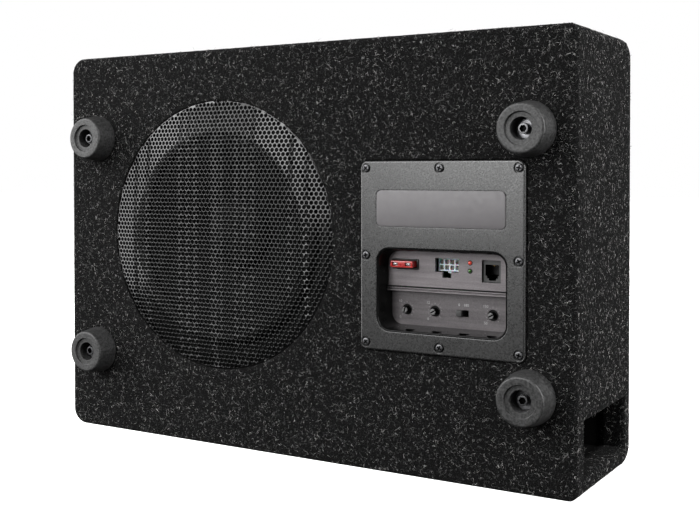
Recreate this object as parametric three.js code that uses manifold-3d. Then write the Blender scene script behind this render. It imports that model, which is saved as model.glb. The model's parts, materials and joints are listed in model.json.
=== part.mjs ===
// Powered car subwoofer: a slim carpeted, ported box with an 8-inch driver behind a domed
// grille and a built-in amplifier. It stands on its long narrow side, driver face to -Y.
// Millimetres, +Z up; the origin is under the middle of the object's box.
import * as THREE from "three";
import { mergeVertices } from "three/addons/utils/BufferGeometryUtils.js";
import Module from "manifold-3d";

const wasm = await Module();
wasm.setup();

// ---------------------------------------------------------------- driving dimensions
// Local frame: x from the middle of the box, y from the carpet's front face towards the
// back, z from the surface it stands on.
const WIDTH = 428;
const DEPTH = 116;
const HEIGHT = 300;
const LEFT_R = 12; // the two long front-to-back edges at the closed end
const RIGHT_R = 3; // the same two edges at the port's end
const BACK_R = 10; // rounding along the top and the bottom of the back
const EDGE_R = 2.5; // soft carpet fold round the front and the back
const CARPET = 1.5;
const GAP = 0.2; // clearance between parts that touch
const BAFFLE = 12; // front board
const SHELL = 10; // the other boards

const GRILLE_X = -64;
const GRILLE_Z = 159.7;
const GRILLE_R = 101.6; // hole in the carpet
const REBATE_DEPTH = 6.3; // how far the driver's frame sits below the carpet's front
const DRIVER_HOLE_R = 92;

const FOOT_X = [-185, 182.5];
const FOOT_MIDDLE_Z = 148.6;
const FOOT_Z = 85.6; // above and below that middle
const FOOT_HEIGHT = 16.5;
const FOOT_BASE_R = 18;
const FOOT_FACE_R = 16;
const FOOT_BOLT_HOLE_R = 2.4;

const AMP_X = 120.6;
const AMP_Z = 149.6;
const PLATE_W = 120;
const PLATE_H = 130;
const PLATE_FRONT = -2;
const PLATE_BACK = CARPET;
const PLATE_R = 5;
const SCREW_X = 55.8;
const SCREW_Z = 60;
const SCREW_HOLE_R = 1.9;
const CUTOUT_W = 100;
const CUTOUT_H = 108;

const WINDOW_X = 120.8;
const WINDOW_Z = 126.6;
const WINDOW_W = 95.6;
const WINDOW_H = 57.4;
const WINDOW_R = 10;

const UPPER_FACE = 10.5; // upper half of the recessed control panel
const LOWER_FACE = 15; // its lower half, one step deeper
const BOARD_FRONT = 30; // amplifier circuit board
const BOARD_BACK = 31.6;

const PORT_TOP = 50; // underside of the duct's divider
const PORT_SLEEVE = 17; // how far the carpet turns into the port
const PORT_TURN = 45; // gap past the divider's inner end

const CONTROL_Z = 111.8;
const FUSE = { x: 89.3, z: 143.6 };
const FUSE_HEAD = { x: 88.9, z: 143.75, w: 17, h: 4.55 };
const HEADER = { x: 120.3, z: 144 };
const JACK = { x: 152.4, z: 141.2 };
const SWITCH = { x: 130, z: 111.6 };
const LIGHTS = { status_light_red: 146.4, status_light_green: 140.9 };
const LIGHT_X = 137.3;
const CONTROLS = {
  gain: { x: 88.2, slot: 15 },
  boost: { x: 109.5, slot: 60 },
  low_pass: { x: 151.8, slot: 62 },
};

// Worked out from the driving dimensions.
const INSET = CARPET + GAP;
const BAFFLE_BACK = INSET + BAFFLE;
const REAR_FRONT = DEPTH - INSET - SHELL; // front face of the back board
const FLOOR_TOP = INSET + SHELL; // top of the bottom board
const SIDE_INNER = WIDTH / 2 - INSET - SHELL;

// ---------------------------------------------------------------- materials
function finish(color, roughness, metalness = 0) {
  return new THREE.MeshStandardMaterial({ color, roughness, metalness });
}

const MDF = finish(0x9a7b55, 0.85);
const FELT = finish(0x232325, 1);
const BLACK_STEEL = finish(0x26272a, 0.45, 0.8);
const PLATE_GREY = finish(0x5a5b5e, 0.7, 0.2);
const PANEL_GREY = finish(0x6e696c, 0.6, 0.4);
const BLACK_PLASTIC = finish(0x111112, 0.4);
const SMOOTH_PLASTIC = finish(0x2b2b2e, 0.3);
const RUBBER = finish(0x1b1b1c, 0.9);
const FOAM = finish(0x17171a, 1);
const PAPER = finish(0x1d1c1b, 0.9);
const CLOTH = finish(0xb08a4a, 0.9);
const ZINC = finish(0xb9bbbf, 0.3, 1);
const FERRITE = finish(0x303134, 0.8, 0.1);
const COPPER = finish(0xa8602f, 0.4, 1);
const ALUMINIUM = finish(0x8d8f93, 0.45, 1);
const FIBREGLASS = finish(0x1d4a2c, 0.6);
const FUSE_RED = finish(0xc0141a, 0.3);
const NYLON = finish(0xd9dde0, 0.5);
const LENS_RED = finish(0xe02018, 0.2);
const LENS_GREEN = finish(0x3c9a30, 0.2);

// ---------------------------------------------------------------- geometry helpers
// One closed surface with shared vertices: three.js repeats them at seams and poles.
function welded(geometry) {
  const flat = geometry.index ? geometry.toNonIndexed() : geometry.clone();
  flat.deleteAttribute("normal");
  flat.deleteAttribute("uv");
  const merged = mergeVertices(flat, 1e-3);
  const index = [...merged.index.array];
  const kept = [];
  for (let i = 0; i < index.length; i += 3) {
    const [a, b, c] = index.slice(i, i + 3);
    if (a !== b && b !== c && a !== c) kept.push(a, b, c);
  }
  merged.setIndex(kept);
  return merged;
}

function toSolid(geometry) {
  const merged = welded(geometry);
  const made = (triVerts) => new wasm.Manifold(
    new wasm.Mesh({ numProp: 3, vertProperties: merged.attributes.position.array, triVerts }),
  );
  const solid = made(new Uint32Array(merged.index.array));
  if (solid.volume() > 0) return solid;
  return made(new Uint32Array(merged.index.array).reverse());
}

function fromSolid(solid) {
  const mesh = solid.getMesh();
  const geometry = new THREE.BufferGeometry();
  const position = new Float32Array(mesh.vertProperties);
  geometry.setAttribute("position", new THREE.BufferAttribute(position, 3));
  geometry.setIndex(new THREE.BufferAttribute(new Uint32Array(mesh.triVerts), 1));
  return geometry;
}

function join(...geometries) {
  return fromSolid(geometries.map(toSolid).reduce((all, one) => all.add(one)));
}

function cut(geometry, ...tools) {
  const solid = tools.map(toSolid).reduce((left, tool) => left.subtract(tool), toSolid(geometry));
  return fromSolid(solid);
}

function common(a, b) {
  return fromSolid(toSolid(a).intersect(toSolid(b)));
}

function block(x0, x1, y0, y1, z0, z1) {
  const geometry = new THREE.BoxGeometry(x1 - x0, y1 - y0, z1 - z0);
  return geometry.translate((x0 + x1) / 2, (y0 + y1) / 2, (z0 + z1) / 2);
}

// A block centred on a point of the front, w across and h high.
function blockAt(x, z, w, h, y0, y1) {
  return block(x - w / 2, x + w / 2, y0, y1, z - h / 2, z + h / 2);
}

function roundedRect(x, z, w, h, r) {
  const shape = new THREE.Shape();
  const [a, b] = [w / 2 - r, h / 2 - r];
  shape.absarc(x + a, z - b, r, -Math.PI / 2, 0);
  shape.absarc(x + a, z + b, r, 0, Math.PI / 2);
  shape.absarc(x - a, z + b, r, Math.PI / 2, Math.PI);
  shape.absarc(x - a, z - b, r, Math.PI, 1.5 * Math.PI);
  return shape;
}

// Extrudes an outline drawn in x and z from y0 back to y1, with rounded edges if asked.
function slab(shape, y0, y1, { edge = 0, curveSegments = 4 } = {}) {
  const geometry = new THREE.ExtrudeGeometry(shape, {
    depth: y1 - y0 - 2 * edge,
    bevelEnabled: edge > 0,
    bevelThickness: edge,
    bevelSize: edge,
    bevelOffset: -edge,
    bevelSegments: 2,
    curveSegments,
  });
  return geometry.rotateX(Math.PI / 2).translate(0, y1 - edge, 0);
}

// Turns a closed profile of [radius, y] points about an axis along y through x and z.
function turned(profile, x, z, segments = 24) {
  const closed = profile.map(([r, y]) => new THREE.Vector2(r, y));
  const onAxis = profile[0][0] === 0 && profile.at(-1)[0] === 0;
  if (!onAxis) closed.push(closed[0].clone());
  return fromSolid(toSolid(new THREE.LatheGeometry(closed, segments).translate(x, 0, z)));
}

function rod(x, z, r, y0, y1, segments = 16) {
  const geometry = new THREE.CylinderGeometry(r, r, y1 - y0, segments);
  return geometry.translate(x, (y0 + y1) / 2, z);
}

function ring(x, z, inner, outer, y0, y1, segments = 24) {
  return turned([[inner, y0], [outer, y0], [outer, y1], [inner, y1]], x, z, segments);
}

// Extrudes a section drawn in y and z along x.
function along(section, x0, x1, curveSegments = 4) {
  const geometry = new THREE.ExtrudeGeometry(section, {
    depth: x1 - x0,
    bevelEnabled: false,
    curveSegments,
  });
  const axes = new THREE.Matrix4().makeBasis(
    new THREE.Vector3(0, 1, 0),
    new THREE.Vector3(0, 0, 1),
    new THREE.Vector3(1, 0, 0),
  );
  return geometry.applyMatrix4(axes).translate(x0, 0, 0);
}

function arcPoints(cr, cy, r, from, to, steps) {
  return Array.from({ length: steps + 1 }, (_, i) => {
    const angle = THREE.MathUtils.degToRad(from + ((to - from) * i) / steps);
    return [cr + r * Math.cos(angle), cy + r * Math.sin(angle)];
  });
}

const model = new THREE.Group();
const frontAtMinusY = new THREE.Group();
frontAtMinusY.position.y = -(DEPTH - FOOT_HEIGHT) / 2;
model.add(frontAtMinusY);

function part(name, geometry, material) {
  const mesh = new THREE.Mesh(geometry, material);
  mesh.name = name;
  frontAtMinusY.add(mesh);
  return mesh;
}

// ---------------------------------------------------------------- places that repeat
const footPlaces = [1, -1].flatMap((up) => FOOT_X.map((x) => (
  { x, z: FOOT_MIDDLE_Z + up * FOOT_Z }
)));
const screwPlaces = [
  [-1, 1], [0, 1], [1, 1], [-1, 0], [1, 0], [-1, -1], [0, -1], [1, -1],
].map(([i, j]) => ({ x: AMP_X + i * SCREW_X, z: AMP_Z + j * SCREW_Z }));

function holes(places, r, y0, y1) {
  return places.map(({ x, z }) => rod(x, z, r, y0, y1, 8));
}

// ---------------------------------------------------------------- enclosure
// The box from the front, and its section from the side, smaller all round by an inset.
function frontOutline(inset) {
  const shape = new THREE.Shape();
  const [left, right] = [LEFT_R - inset, RIGHT_R - inset];
  const [x0, x1] = [inset - WIDTH / 2, WIDTH / 2 - inset];
  const [z0, z1] = [inset, HEIGHT - inset];
  shape.absarc(x1 - right, z0 + right, right, -Math.PI / 2, 0);
  shape.absarc(x1 - right, z1 - right, right, 0, Math.PI / 2);
  shape.absarc(x0 + left, z1 - left, left, Math.PI / 2, Math.PI);
  shape.absarc(x0 + left, z0 + left, left, Math.PI, 1.5 * Math.PI);
  return shape;
}

function sideSection(inset) {
  const shape = new THREE.Shape();
  const [r, back] = [BACK_R - inset, DEPTH - inset];
  const [z0, z1] = [inset, HEIGHT - inset];
  shape.absarc(back - r, z0 + r, r, -Math.PI / 2, 0);
  shape.absarc(back - r, z1 - r, r, 0, Math.PI / 2);
  shape.lineTo(-EDGE_R, z1);
  shape.lineTo(-EDGE_R, z0);
  return shape;
}

function boxSlab(inset, y0, y1, options) {
  const outline = slab(frontOutline(inset), y0, y1, options);
  return common(outline, along(sideSection(inset), -WIDTH, WIDTH));
}

function makeBoards() {
  const front = cut(
    boxSlab(INSET, INSET, BAFFLE_BACK),
    rod(GRILLE_X, GRILLE_Z, GRILLE_R, 0, INSET + REBATE_DEPTH - GAP, 48),
    rod(GRILLE_X, GRILLE_Z, DRIVER_HOLE_R, 0, BAFFLE_BACK + 1, 24),
    blockAt(AMP_X, AMP_Z, CUTOUT_W, CUTOUT_H, 0, BAFFLE_BACK + 1),
    ...holes(footPlaces, FOOT_BOLT_HOLE_R, 0, BAFFLE_BACK + 1),
    ...holes(screwPlaces, SCREW_HOLE_R, 0, BAFFLE_BACK + 1),
  );
  part("front_baffle", front, MDF);
  part("back_panel", boxSlab(INSET, REAR_FRONT, REAR_FRONT + SHELL), MDF);

  const [y0, y1] = [BAFFLE_BACK + GAP, REAR_FRONT - GAP];
  const whole = boxSlab(INSET, y0, y1);
  const [low, high] = [FLOOR_TOP, HEIGHT - FLOOR_TOP];
  part("top_panel", cut(whole, block(-WIDTH, WIDTH, 0, DEPTH, -1, high)), MDF);
  part("bottom_panel", cut(whole, block(-WIDTH, WIDTH, 0, DEPTH, low, HEIGHT)), MDF);
  const [inner, outer] = [SIDE_INNER, SIDE_INNER + SHELL];
  part("left_panel", block(-outer, -inner, y0, y1, low + GAP, high - GAP), MDF);
  part("right_panel", block(inner, outer, y0, y1, PORT_TOP, high - GAP), MDF);
  const dividerEnd = -SIDE_INNER + PORT_TURN;
  const divider = block(dividerEnd, inner - GAP, y0, y1, PORT_TOP, PORT_TOP + SHELL);
  part("port_divider", divider, MDF);
}

// One felt skin round the whole box, turned into the mouth of the port. The flat strip that
// the box stands on is a piece of its own.
function makeCarpet() {
  const mouth = [BAFFLE_BACK + GAP, REAR_FRONT - GAP, FLOOR_TOP + GAP, PORT_TOP - GAP];
  const [y0, y1, z0, z1] = mouth;
  const sleeveEnd = WIDTH / 2 - PORT_SLEEVE;
  const plateHole = roundedRect(AMP_X, AMP_Z, PLATE_W + 1, PLATE_H + 1, PLATE_R + 0.5);
  const stand = (margin) => block(
    LEFT_R - WIDTH / 2 - margin, WIDTH / 2 - RIGHT_R + margin,
    EDGE_R - margin, DEPTH - BACK_R + margin,
    -margin, CARPET + margin,
  );
  const skin = cut(
    boxSlab(0, 0, DEPTH, { edge: EDGE_R }),
    boxSlab(CARPET, CARPET, DEPTH - CARPET),
    rod(GRILLE_X, GRILLE_Z, GRILLE_R, -1, CARPET + 1, 48),
    slab(plateHole, -1, CARPET + 1),
    ...holes(footPlaces, FOOT_BOLT_HOLE_R, -1, CARPET + 1),
    stand(GAP),
  );
  const sleeve = block(sleeveEnd, WIDTH / 2 - 0.1, y0, y1, z0, z1);
  const bore = block(sleeveEnd - 1, WIDTH, y0 + CARPET, y1 - CARPET, z0 + CARPET, z1 - CARPET);
  part("carpet_cover", cut(join(skin, sleeve), bore), FELT);
  part("base_carpet", stand(0), FELT);
}

// ---------------------------------------------------------------- driver
const RIM_FRONT = INSET + REBATE_DEPTH - GAP - 1.4; // front face of the driver's mounting rim
const LEDGE = RIM_FRONT + 3.4; // step that the surround is glued to
const SPIDER_LEDGE = 40.3;
const MOTOR_FRONT = 50;
const COIL_R = 19.6;

function driverRing(name, profile, material, segments = 24) {
  return part(name, turned(profile, GRILLE_X, GRILLE_Z, segments), material);
}

// A domed disc of sheet steel: flat middle, sloping border, short rim down into the rebate.
function makeGrille() {
  const [sheet, rimR, flatR, dish] = [1, GRILLE_R - 0.3, 77, 2.5];
  driverRing("grille", [
    [0, -1.5], [flatR, -1.5], [rimR - 0.6, dish - 0.4], [rimR, dish + 0.2],
    [rimR, RIM_FRONT - GAP], [rimR - sheet, RIM_FRONT - GAP], [rimR - sheet, dish + 0.9],
    [flatR - 0.2, -1.5 + sheet], [0, -1.5 + sheet],
  ], BLACK_STEEL, 48);
}

function makeBasket() {
  const steel = 1.2;
  const back = [
    [100.8, RIM_FRONT], [100.8, RIM_FRONT + steel], [91.4, RIM_FRONT + steel],
    [91.4, LEDGE + steel], [84.2, LEDGE + steel], [81, 22], [62.5, SPIDER_LEDGE + steel],
    [48.8, SPIDER_LEDGE + steel], [45.5, MOTOR_FRONT], [45.5, MOTOR_FRONT + steel],
    [24, MOTOR_FRONT + steel],
  ];
  const front = [
    [24, MOTOR_FRONT], [44.6, MOTOR_FRONT], [47.8, SPIDER_LEDGE], [62, SPIDER_LEDGE],
    [80, 21.6], [83.2, LEDGE], [90.2, LEDGE], [90.2, RIM_FRONT],
  ];
  const shell = turned([...back, ...front], GRILLE_X, GRILLE_Z);
  const windows = Array.from({ length: 8 }, (_, i) => (
    block(63.5, 79, 15, 45, -16, 16)
      .rotateY(((i + 0.5) * Math.PI) / 4)
      .translate(GRILLE_X, 0, GRILLE_Z)
  ));
  part("driver_basket", cut(shell, ...windows), BLACK_STEEL);
  driverRing("frame_gasket", [
    [93.2, RIM_FRONT - 1.8], [99.4, RIM_FRONT - 1.8],
    [99.4, RIM_FRONT - GAP], [93.2, RIM_FRONT - GAP],
  ], FOAM);
}

function makeCone() {
  const lip = LEDGE - 1; // front of the surround's two flat lips
  const rollR = 79.5;
  driverRing("surround", [
    [90, lip], ...arcPoints(rollR, lip, 4.9, 0, -180, 6), [71.4, lip],
    [71.4, lip + 0.8], [75.4, lip + 0.8], ...arcPoints(rollR, lip, 4.1, -180, 0, 4),
    [83.6, lip + 0.8], [90, lip + 0.8],
  ], RUBBER);

  const neckY = 31;
  const slope = new THREE.QuadraticBezierCurve(
    new THREE.Vector2(71.4, LEDGE),
    new THREE.Vector2(42, 19),
    new THREE.Vector2(COIL_R + 0.3, neckY),
  ).getPoints(5).map(({ x, y }) => [x, y]);
  const backSlope = slope.map(([r, y]) => [r, y + 1]).reverse();
  driverRing("cone", [[74.4, LEDGE], ...slope, ...backSlope, [74.4, LEDGE + 1]], PAPER);

  const [capR, capDepth, capRim] = [27, 7, 24.6];
  const sphere = (capR ** 2 + capDepth ** 2) / (2 * capDepth);
  const half = THREE.MathUtils.radToDeg(Math.asin(capR / sphere));
  const centre = capRim - capDepth + sphere;
  driverRing("dust_cap", [
    ...arcPoints(0, centre, sphere, -90, -90 + half, 5),
    ...arcPoints(0, centre + 0.8, sphere, -90 + half, -90, 5),
  ].map(([r, y]) => [Math.abs(r) < 1e-6 ? 0 : r, y]), PAPER, 24);

  driverRing("voice_coil", [
    [COIL_R - 0.5, 28], [COIL_R, 28], [COIL_R, 50], [COIL_R + 0.8, 50],
    [COIL_R + 0.8, 62], [COIL_R - 0.5, 62],
  ], COPPER);

  const waves = Array.from({ length: 7 }, (_, i) => (
    [46 - i * 3.7, SPIDER_LEDGE - 2.4 + (i % 2 ? -1.3 : 1.3)]
  ));
  const spiderFront = [[61, SPIDER_LEDGE - 1], [50, SPIDER_LEDGE - 1], ...waves];
  const neck = COIL_R + 0.3;
  const spiderBack = spiderFront.map(([r, y]) => [r, y + 0.8]).reverse();
  driverRing("spider", [
    ...spiderFront, [neck, SPIDER_LEDGE - 1.2], [neck, SPIDER_LEDGE - 0.4], ...spiderBack,
  ], CLOTH);
}

function makeMotor() {
  const plateFront = MOTOR_FRONT + 1.2 + GAP;
  const magnetFront = plateFront + 6 + GAP;
  const yokeFront = magnetFront + 18 + GAP;
  const [x, z] = [GRILLE_X, GRILLE_Z];
  part("top_plate", ring(x, z, 21.2, 50, plateFront, plateFront + 6), ZINC);
  part("ring_magnet", ring(x, z, 27, 52, magnetFront, magnetFront + 18), FERRITE);
  driverRing("pole_yoke", [
    [5, MOTOR_FRONT + 0.5], [18.3, MOTOR_FRONT + 0.5], [18.3, yokeFront], [50, yokeFront],
    [50, yokeFront + 6], [5, yokeFront + 6],
  ], ZINC);
}

// Two solder lugs on an insulating block, riveted behind the spider's ledge.
function makeTerminals() {
  const front = SPIDER_LEDGE + 1.2 + GAP;
  const [x0, x1] = [GRILLE_X + 50, GRILLE_X + 61];
  const strip = block(x0, x1, front, front + 5, GRILLE_Z - 8, GRILLE_Z + 8);
  const lugs = [-4.5, 4.5].map((dz) => (
    block(x1 - 1, x1 + 3, front + 2, front + 3, GRILLE_Z + dz - 1.5, GRILLE_Z + dz + 1.5)
  ));
  part("terminal_strip", join(strip, ...lugs), SMOOTH_PLASTIC);
}

// Twin lead from the driver's terminals through the heat sink's side to the circuit board.
function makeSpeakerCable() {
  const route = [
    [GRILLE_X + 65, 44.2, GRILLE_Z], [20, 44.5, GRILLE_Z - 3], [48, 42, GRILLE_Z + 1],
    [66, 36.5, AMP_Z + 16], [78, 35, AMP_Z + 16.5], [90, 34.6, AMP_Z + 16.5],
  ].map(([x, y, z]) => new THREE.Vector3(x, y, z));
  const section = new THREE.Shape().absarc(0, 0, 1.6, 0, 2 * Math.PI);
  const cable = new THREE.ExtrudeGeometry(section, {
    extrudePath: new THREE.CatmullRomCurve3(route),
    steps: 16,
    curveSegments: 6,
    bevelEnabled: false,
  });
  part("speaker_cable", fromSolid(toSolid(cable)), BLACK_PLASTIC);
}

// ---------------------------------------------------------------- feet
// Rubber buffers: a flat annulus to stand on, a lower ring inside it and a deep well for the
// socket-head bolt.
function makeFeet() {
  const [rubberBack, front, wellFloor, boltFront] = [-GAP, -FOOT_HEIGHT, -5, -11.2];
  const [wellR, ringR, annulusR, step] = [7.3, 10.6, 11, front + 1.7];
  const [headR, socketR, shankR, socketFloor] = [3.5, 2.3, 2.1, boltFront + 2.4];
  footPlaces.forEach(({ x, z }, i) => {
    part(`foot_${i + 1}`, turned([
      [FOOT_BOLT_HOLE_R, wellFloor], [wellR, wellFloor], [wellR, step], [ringR, step],
      [annulusR, front], [FOOT_FACE_R - 2, front],
      [FOOT_FACE_R - 0.6, front + 0.6], [FOOT_FACE_R, front + 2],
      [FOOT_BASE_R, rubberBack], [FOOT_BOLT_HOLE_R, rubberBack],
    ], x, z, 16), RUBBER);
    const bolt = turned([
      [0, socketFloor], [socketR, socketFloor], [socketR, boltFront],
      [headR - 0.4, boltFront], [headR, boltFront + 0.4], [headR, wellFloor - GAP],
      [shankR, wellFloor - GAP], [shankR, BAFFLE_BACK - 1], [0, BAFFLE_BACK - 1],
    ], x, z, 12);
    part(`foot_bolt_${i + 1}`, bolt, ZINC);
  });
}

// ---------------------------------------------------------------- amplifier faceplate
function makeFaceplate() {
  const label = { x: AMP_X - 0.4, z: AMP_Z + 32.6, w: 95, h: 25.4, r: 4 };
  const labelHole = roundedRect(label.x, label.z, label.w, label.h, label.r);
  const sunk = PLATE_FRONT + 0.8;
  const plate = cut(
    slab(roundedRect(AMP_X, AMP_Z, PLATE_W, PLATE_H, PLATE_R), PLATE_FRONT, PLATE_BACK, {
      edge: 1.2,
    }),
    slab(roundedRect(WINDOW_X, WINDOW_Z, WINDOW_W, WINDOW_H, WINDOW_R), -9, 9),
    slab(labelHole, -9, sunk),
    ...screwPlaces.map(({ x, z }) => rod(x, z, 3.6, -9, PLATE_FRONT + 1.3, 12)),
    ...holes(screwPlaces, SCREW_HOLE_R, -9, 9),
  );
  part("amp_plate", plate, PLATE_GREY);
  const inlay = roundedRect(label.x, label.z, label.w - 0.6, label.h - 0.6, label.r - 0.3);
  part("label_inlay", slab(inlay, PLATE_FRONT + 0.1, sunk - 0.1), SMOOTH_PLASTIC);
  screwPlaces.forEach(({ x, z }, i) => {
    const seat = PLATE_FRONT + 1.1;
    part(`plate_screw_${i + 1}`, turned([
      [0, seat - 1.7], [1.6, seat - 1.6], [2.7, seat - 1.1], [3.2, seat - 0.4],
      [3.2, seat], [1.6, seat], [1.6, BAFFLE_BACK - 1], [0, BAFFLE_BACK - 1],
    ], x, z, 12), ZINC);
  });
}

// A closed tube between rounded-rectangle rings, each one {w, h, r, y}.
function rectangularTube(rings) {
  const loops = rings.map(({ x = WINDOW_X, z = WINDOW_Z, w, h, r, y }) => (
    roundedRect(x, z, w, h, r).getPoints(4).map((p) => [p.x, y, p.y])
  ));
  const count = loops[0].length - 1; // the last point repeats the first
  const position = loops.flatMap((loop) => loop.slice(0, count)).flat();
  const index = [];
  loops.forEach((_, i) => {
    const next = (i + 1) % loops.length;
    for (let j = 0; j < count; j += 1) {
      const k = (j + 1) % count;
      const [a, b] = [i * count + j, i * count + k];
      const [c, d] = [next * count + j, next * count + k];
      index.push(a, b, c, b, d, c);
    }
  });
  const geometry = new THREE.BufferGeometry();
  geometry.setAttribute("position", new THREE.Float32BufferAttribute(position, 3));
  geometry.setIndex(index);
  return geometry;
}

// Black walls that slope from the faceplate's window down to the recessed panel.
function makeTray() {
  const [rim, flange, end] = [PLATE_FRONT + 0.4, PLATE_BACK + GAP, 17];
  const walls = rectangularTube([
    { w: WINDOW_W - 0.4, h: WINDOW_H - 0.4, r: WINDOW_R - 0.2, y: rim },
    { w: WINDOW_W - 0.4, h: WINDOW_H - 0.4, r: WINDOW_R - 0.2, y: flange },
    { w: WINDOW_W + 2, h: WINDOW_H + 2, r: WINDOW_R, y: flange + 0.01 },
    { w: 93.4, h: 56.4, r: WINDOW_R, y: end },
    { w: 88, h: 50.6, r: 8, y: end },
    { w: WINDOW_W - 3, h: WINDOW_H - 3, r: WINDOW_R - 1.5, y: rim },
  ]);
  const dimples = [-23.8, -4, 15.8, 35.6].flatMap((dx) => [-1, 1].map((up) => (
    new THREE.CylinderGeometry(3.6, 3.6, 3, 8)
      .rotateX(Math.PI / 2)
      .translate(WINDOW_X + dx, 2.8, WINDOW_Z + up * (WINDOW_H / 2 - 0.6))
  )));
  part("control_tray", cut(
    walls,
    block(0, WIDTH, UPPER_FACE - GAP, 40, 125, 200),
    block(0, WIDTH, 9, 40, 124.6, 128.4),
    block(0, WIDTH, LOWER_FACE - GAP, 40, 80, 200),
    ...dimples,
  ), BLACK_PLASTIC);
}

// Extruded aluminium end panel: two flat faces, one step, and a double rib between them.
function makePanel() {
  const [top, bottom, step] = [155.4, 98.4, 124.9];
  const outline = [
    [UPPER_FACE, top], [UPPER_FACE, 128.2], [UPPER_FACE + 0.6, 128.2],
    [UPPER_FACE + 0.6, 127.6], [UPPER_FACE - 1, 127.6], [UPPER_FACE - 1, 126.6],
    [UPPER_FACE + 0.5, 126.6], [UPPER_FACE + 0.5, 125.9], [UPPER_FACE - 0.3, 125.9],
    [UPPER_FACE - 0.3, step], [LOWER_FACE, step], [LOWER_FACE, bottom],
    [LOWER_FACE + 2, bottom], [LOWER_FACE + 2, step + 2], [UPPER_FACE + 2, step + 2],
    [UPPER_FACE + 2, top],
  ].map(([y, z]) => new THREE.Vector2(y, z));
  const [halfWidth, through] = [45.8, [5, 25]];
  const extrusion = along(new THREE.Shape(outline), AMP_X - halfWidth, AMP_X + halfWidth);
  const controls = Object.values(CONTROLS);
  part("control_panel", cut(
    extrusion,
    blockAt(FUSE.x, FUSE.z, 20.6, 7.3, ...through),
    blockAt(HEADER.x, HEADER.z, 17.4, 9.4, ...through),
    blockAt(HEADER.x, HEADER.z - 6.3, 6.5, 4.2, ...through),
    blockAt(JACK.x, JACK.z, 13.4, 14.9, ...through),
    blockAt(SWITCH.x, SWITCH.z, 8.8, 4.6, ...through),
    ...Object.values(LIGHTS).map((z) => rod(LIGHT_X, z, 1.8, ...through)),
    ...controls.map(({ x }) => rod(x, CONTROL_Z, 3.25, ...through, 24)),
  ), PANEL_GREY);
}

// ---------------------------------------------------------------- amplifier electronics
function makeHeatSink() {
  const [half, wall, baseFront, baseBack, finBack] = [49, 2.5, 40, 44, 58];
  const [z0, z1] = [AMP_Z - 52, AMP_Z + 52];
  const sides = [-1, 1].map((side) => {
    const [a, b] = [side * half, side * (half - wall)].sort((p, q) => p - q);
    return block(AMP_X + a, AMP_X + b, PLATE_BACK + GAP, baseBack, z0, z1);
  });
  const base = block(AMP_X - half + 1, AMP_X + half - 1, baseFront, baseBack, z0, z1);
  const fins = Array.from({ length: 9 }, (_, i) => {
    const x = AMP_X + (i - 4) * 11.5;
    return block(x - 0.9, x + 0.9, baseBack - 1, finBack, z0, z1);
  });
  part("heat_sink", cut(
    join(...sides, base, ...fins),
    block(AMP_X - 60, AMP_X + 60, 0, LOWER_FACE + 2 + GAP, 90, WINDOW_Z + 31),
    block(AMP_X - 60, AMP_X - 40, 32.5, 38.5, AMP_Z + 12, AMP_Z + 21),
  ), ALUMINIUM);
}

function makeBoard() {
  part("circuit_board", block(
    AMP_X - 46, AMP_X + 46, BOARD_FRONT, BOARD_BACK, AMP_Z - 50, AMP_Z + 50,
  ), FIBREGLASS);
  const seat = BOARD_FRONT - GAP;
  part("capacitor", turned([
    [0, 6], [7.2, 6], [8, 6.8], [8, seat], [0, seat],
  ], AMP_X - 16, AMP_Z + 31, 24), BLACK_PLASTIC);
  part("choke_coil", turned([
    [6, seat - 9.5], [8, seat - 11.5], [11.5, seat - 11.5], [13.5, seat - 9.5],
    [13.5, seat - 2], [11.5, seat], [8, seat], [6, seat - 2],
  ], AMP_X + 22, AMP_Z + 31, 32), COPPER);
}

function makeFuse() {
  const front = UPPER_FACE - 0.6;
  const slot = blockAt(FUSE.x, FUSE.z, 18.6, 5.5, 0, 25.4);
  const holder = blockAt(FUSE.x, FUSE.z, 20.2, 6.9, front, BOARD_FRONT - GAP);
  part("fuse_holder", cut(holder, slot), BLACK_PLASTIC);
  const { x, z, w, h } = FUSE_HEAD;
  const head = slab(roundedRect(x, z, w, h, 0.8), 4.5, 15, { curveSegments: 2 });
  const blades = [-5.6, 5.6].map((dx) => blockAt(x + dx, z, 5.2, 0.8, 14, 24));
  part("blade_fuse", join(head, ...blades), FUSE_RED);
}

function makeSockets() {
  const seat = BOARD_FRONT - GAP;
  const [pitch, pocket, headerFront] = [3.95, 2.9, LOWER_FACE];
  const pockets = [-1.5, -0.5, 0.5, 1.5].flatMap((i) => [-0.5, 0.5].map((j) => (
    blockAt(HEADER.x + i * pitch, HEADER.z + j * pitch, pocket, pocket, 5, headerFront + 9)
  )));
  const housing = blockAt(HEADER.x, HEADER.z, 16.8, 8.8, headerFront, seat);
  const lug = blockAt(HEADER.x, HEADER.z - 4.6, 3.4, 2.4, headerFront + 2, headerFront + 5);
  part("power_header", cut(join(housing, lug), ...pockets), NYLON);

  const jackFront = UPPER_FACE + 1.8;
  const deep = jackFront + 11;
  part("remote_jack", cut(
    blockAt(JACK.x, JACK.z, 13, 14.5, jackFront, seat),
    blockAt(JACK.x, JACK.z + 0.7, 9.7, 7.4, 0, deep),
    blockAt(JACK.x, JACK.z - 3.7, 7.6, 1.6, 0, deep),
    blockAt(JACK.x, JACK.z - 4.7, 5, 2.8, 0, deep),
  ), BLACK_PLASTIC);
}

function makeLights() {
  const tip = UPPER_FACE - 1.4;
  const lenses = { status_light_red: LENS_RED, status_light_green: LENS_GREEN };
  for (const [name, z] of Object.entries(LIGHTS)) {
    const profile = [
      [0, tip], [0.8, tip + 0.25], [1.3, tip + 0.8], [1.5, tip + 1.5], [1.5, tip + 5],
      [0.9, tip + 5], [0.9, BOARD_FRONT - GAP], [0, BOARD_FRONT - GAP],
    ];
    part(name, turned(profile, LIGHT_X, z, 14), lenses[name]);
  }
}

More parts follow.
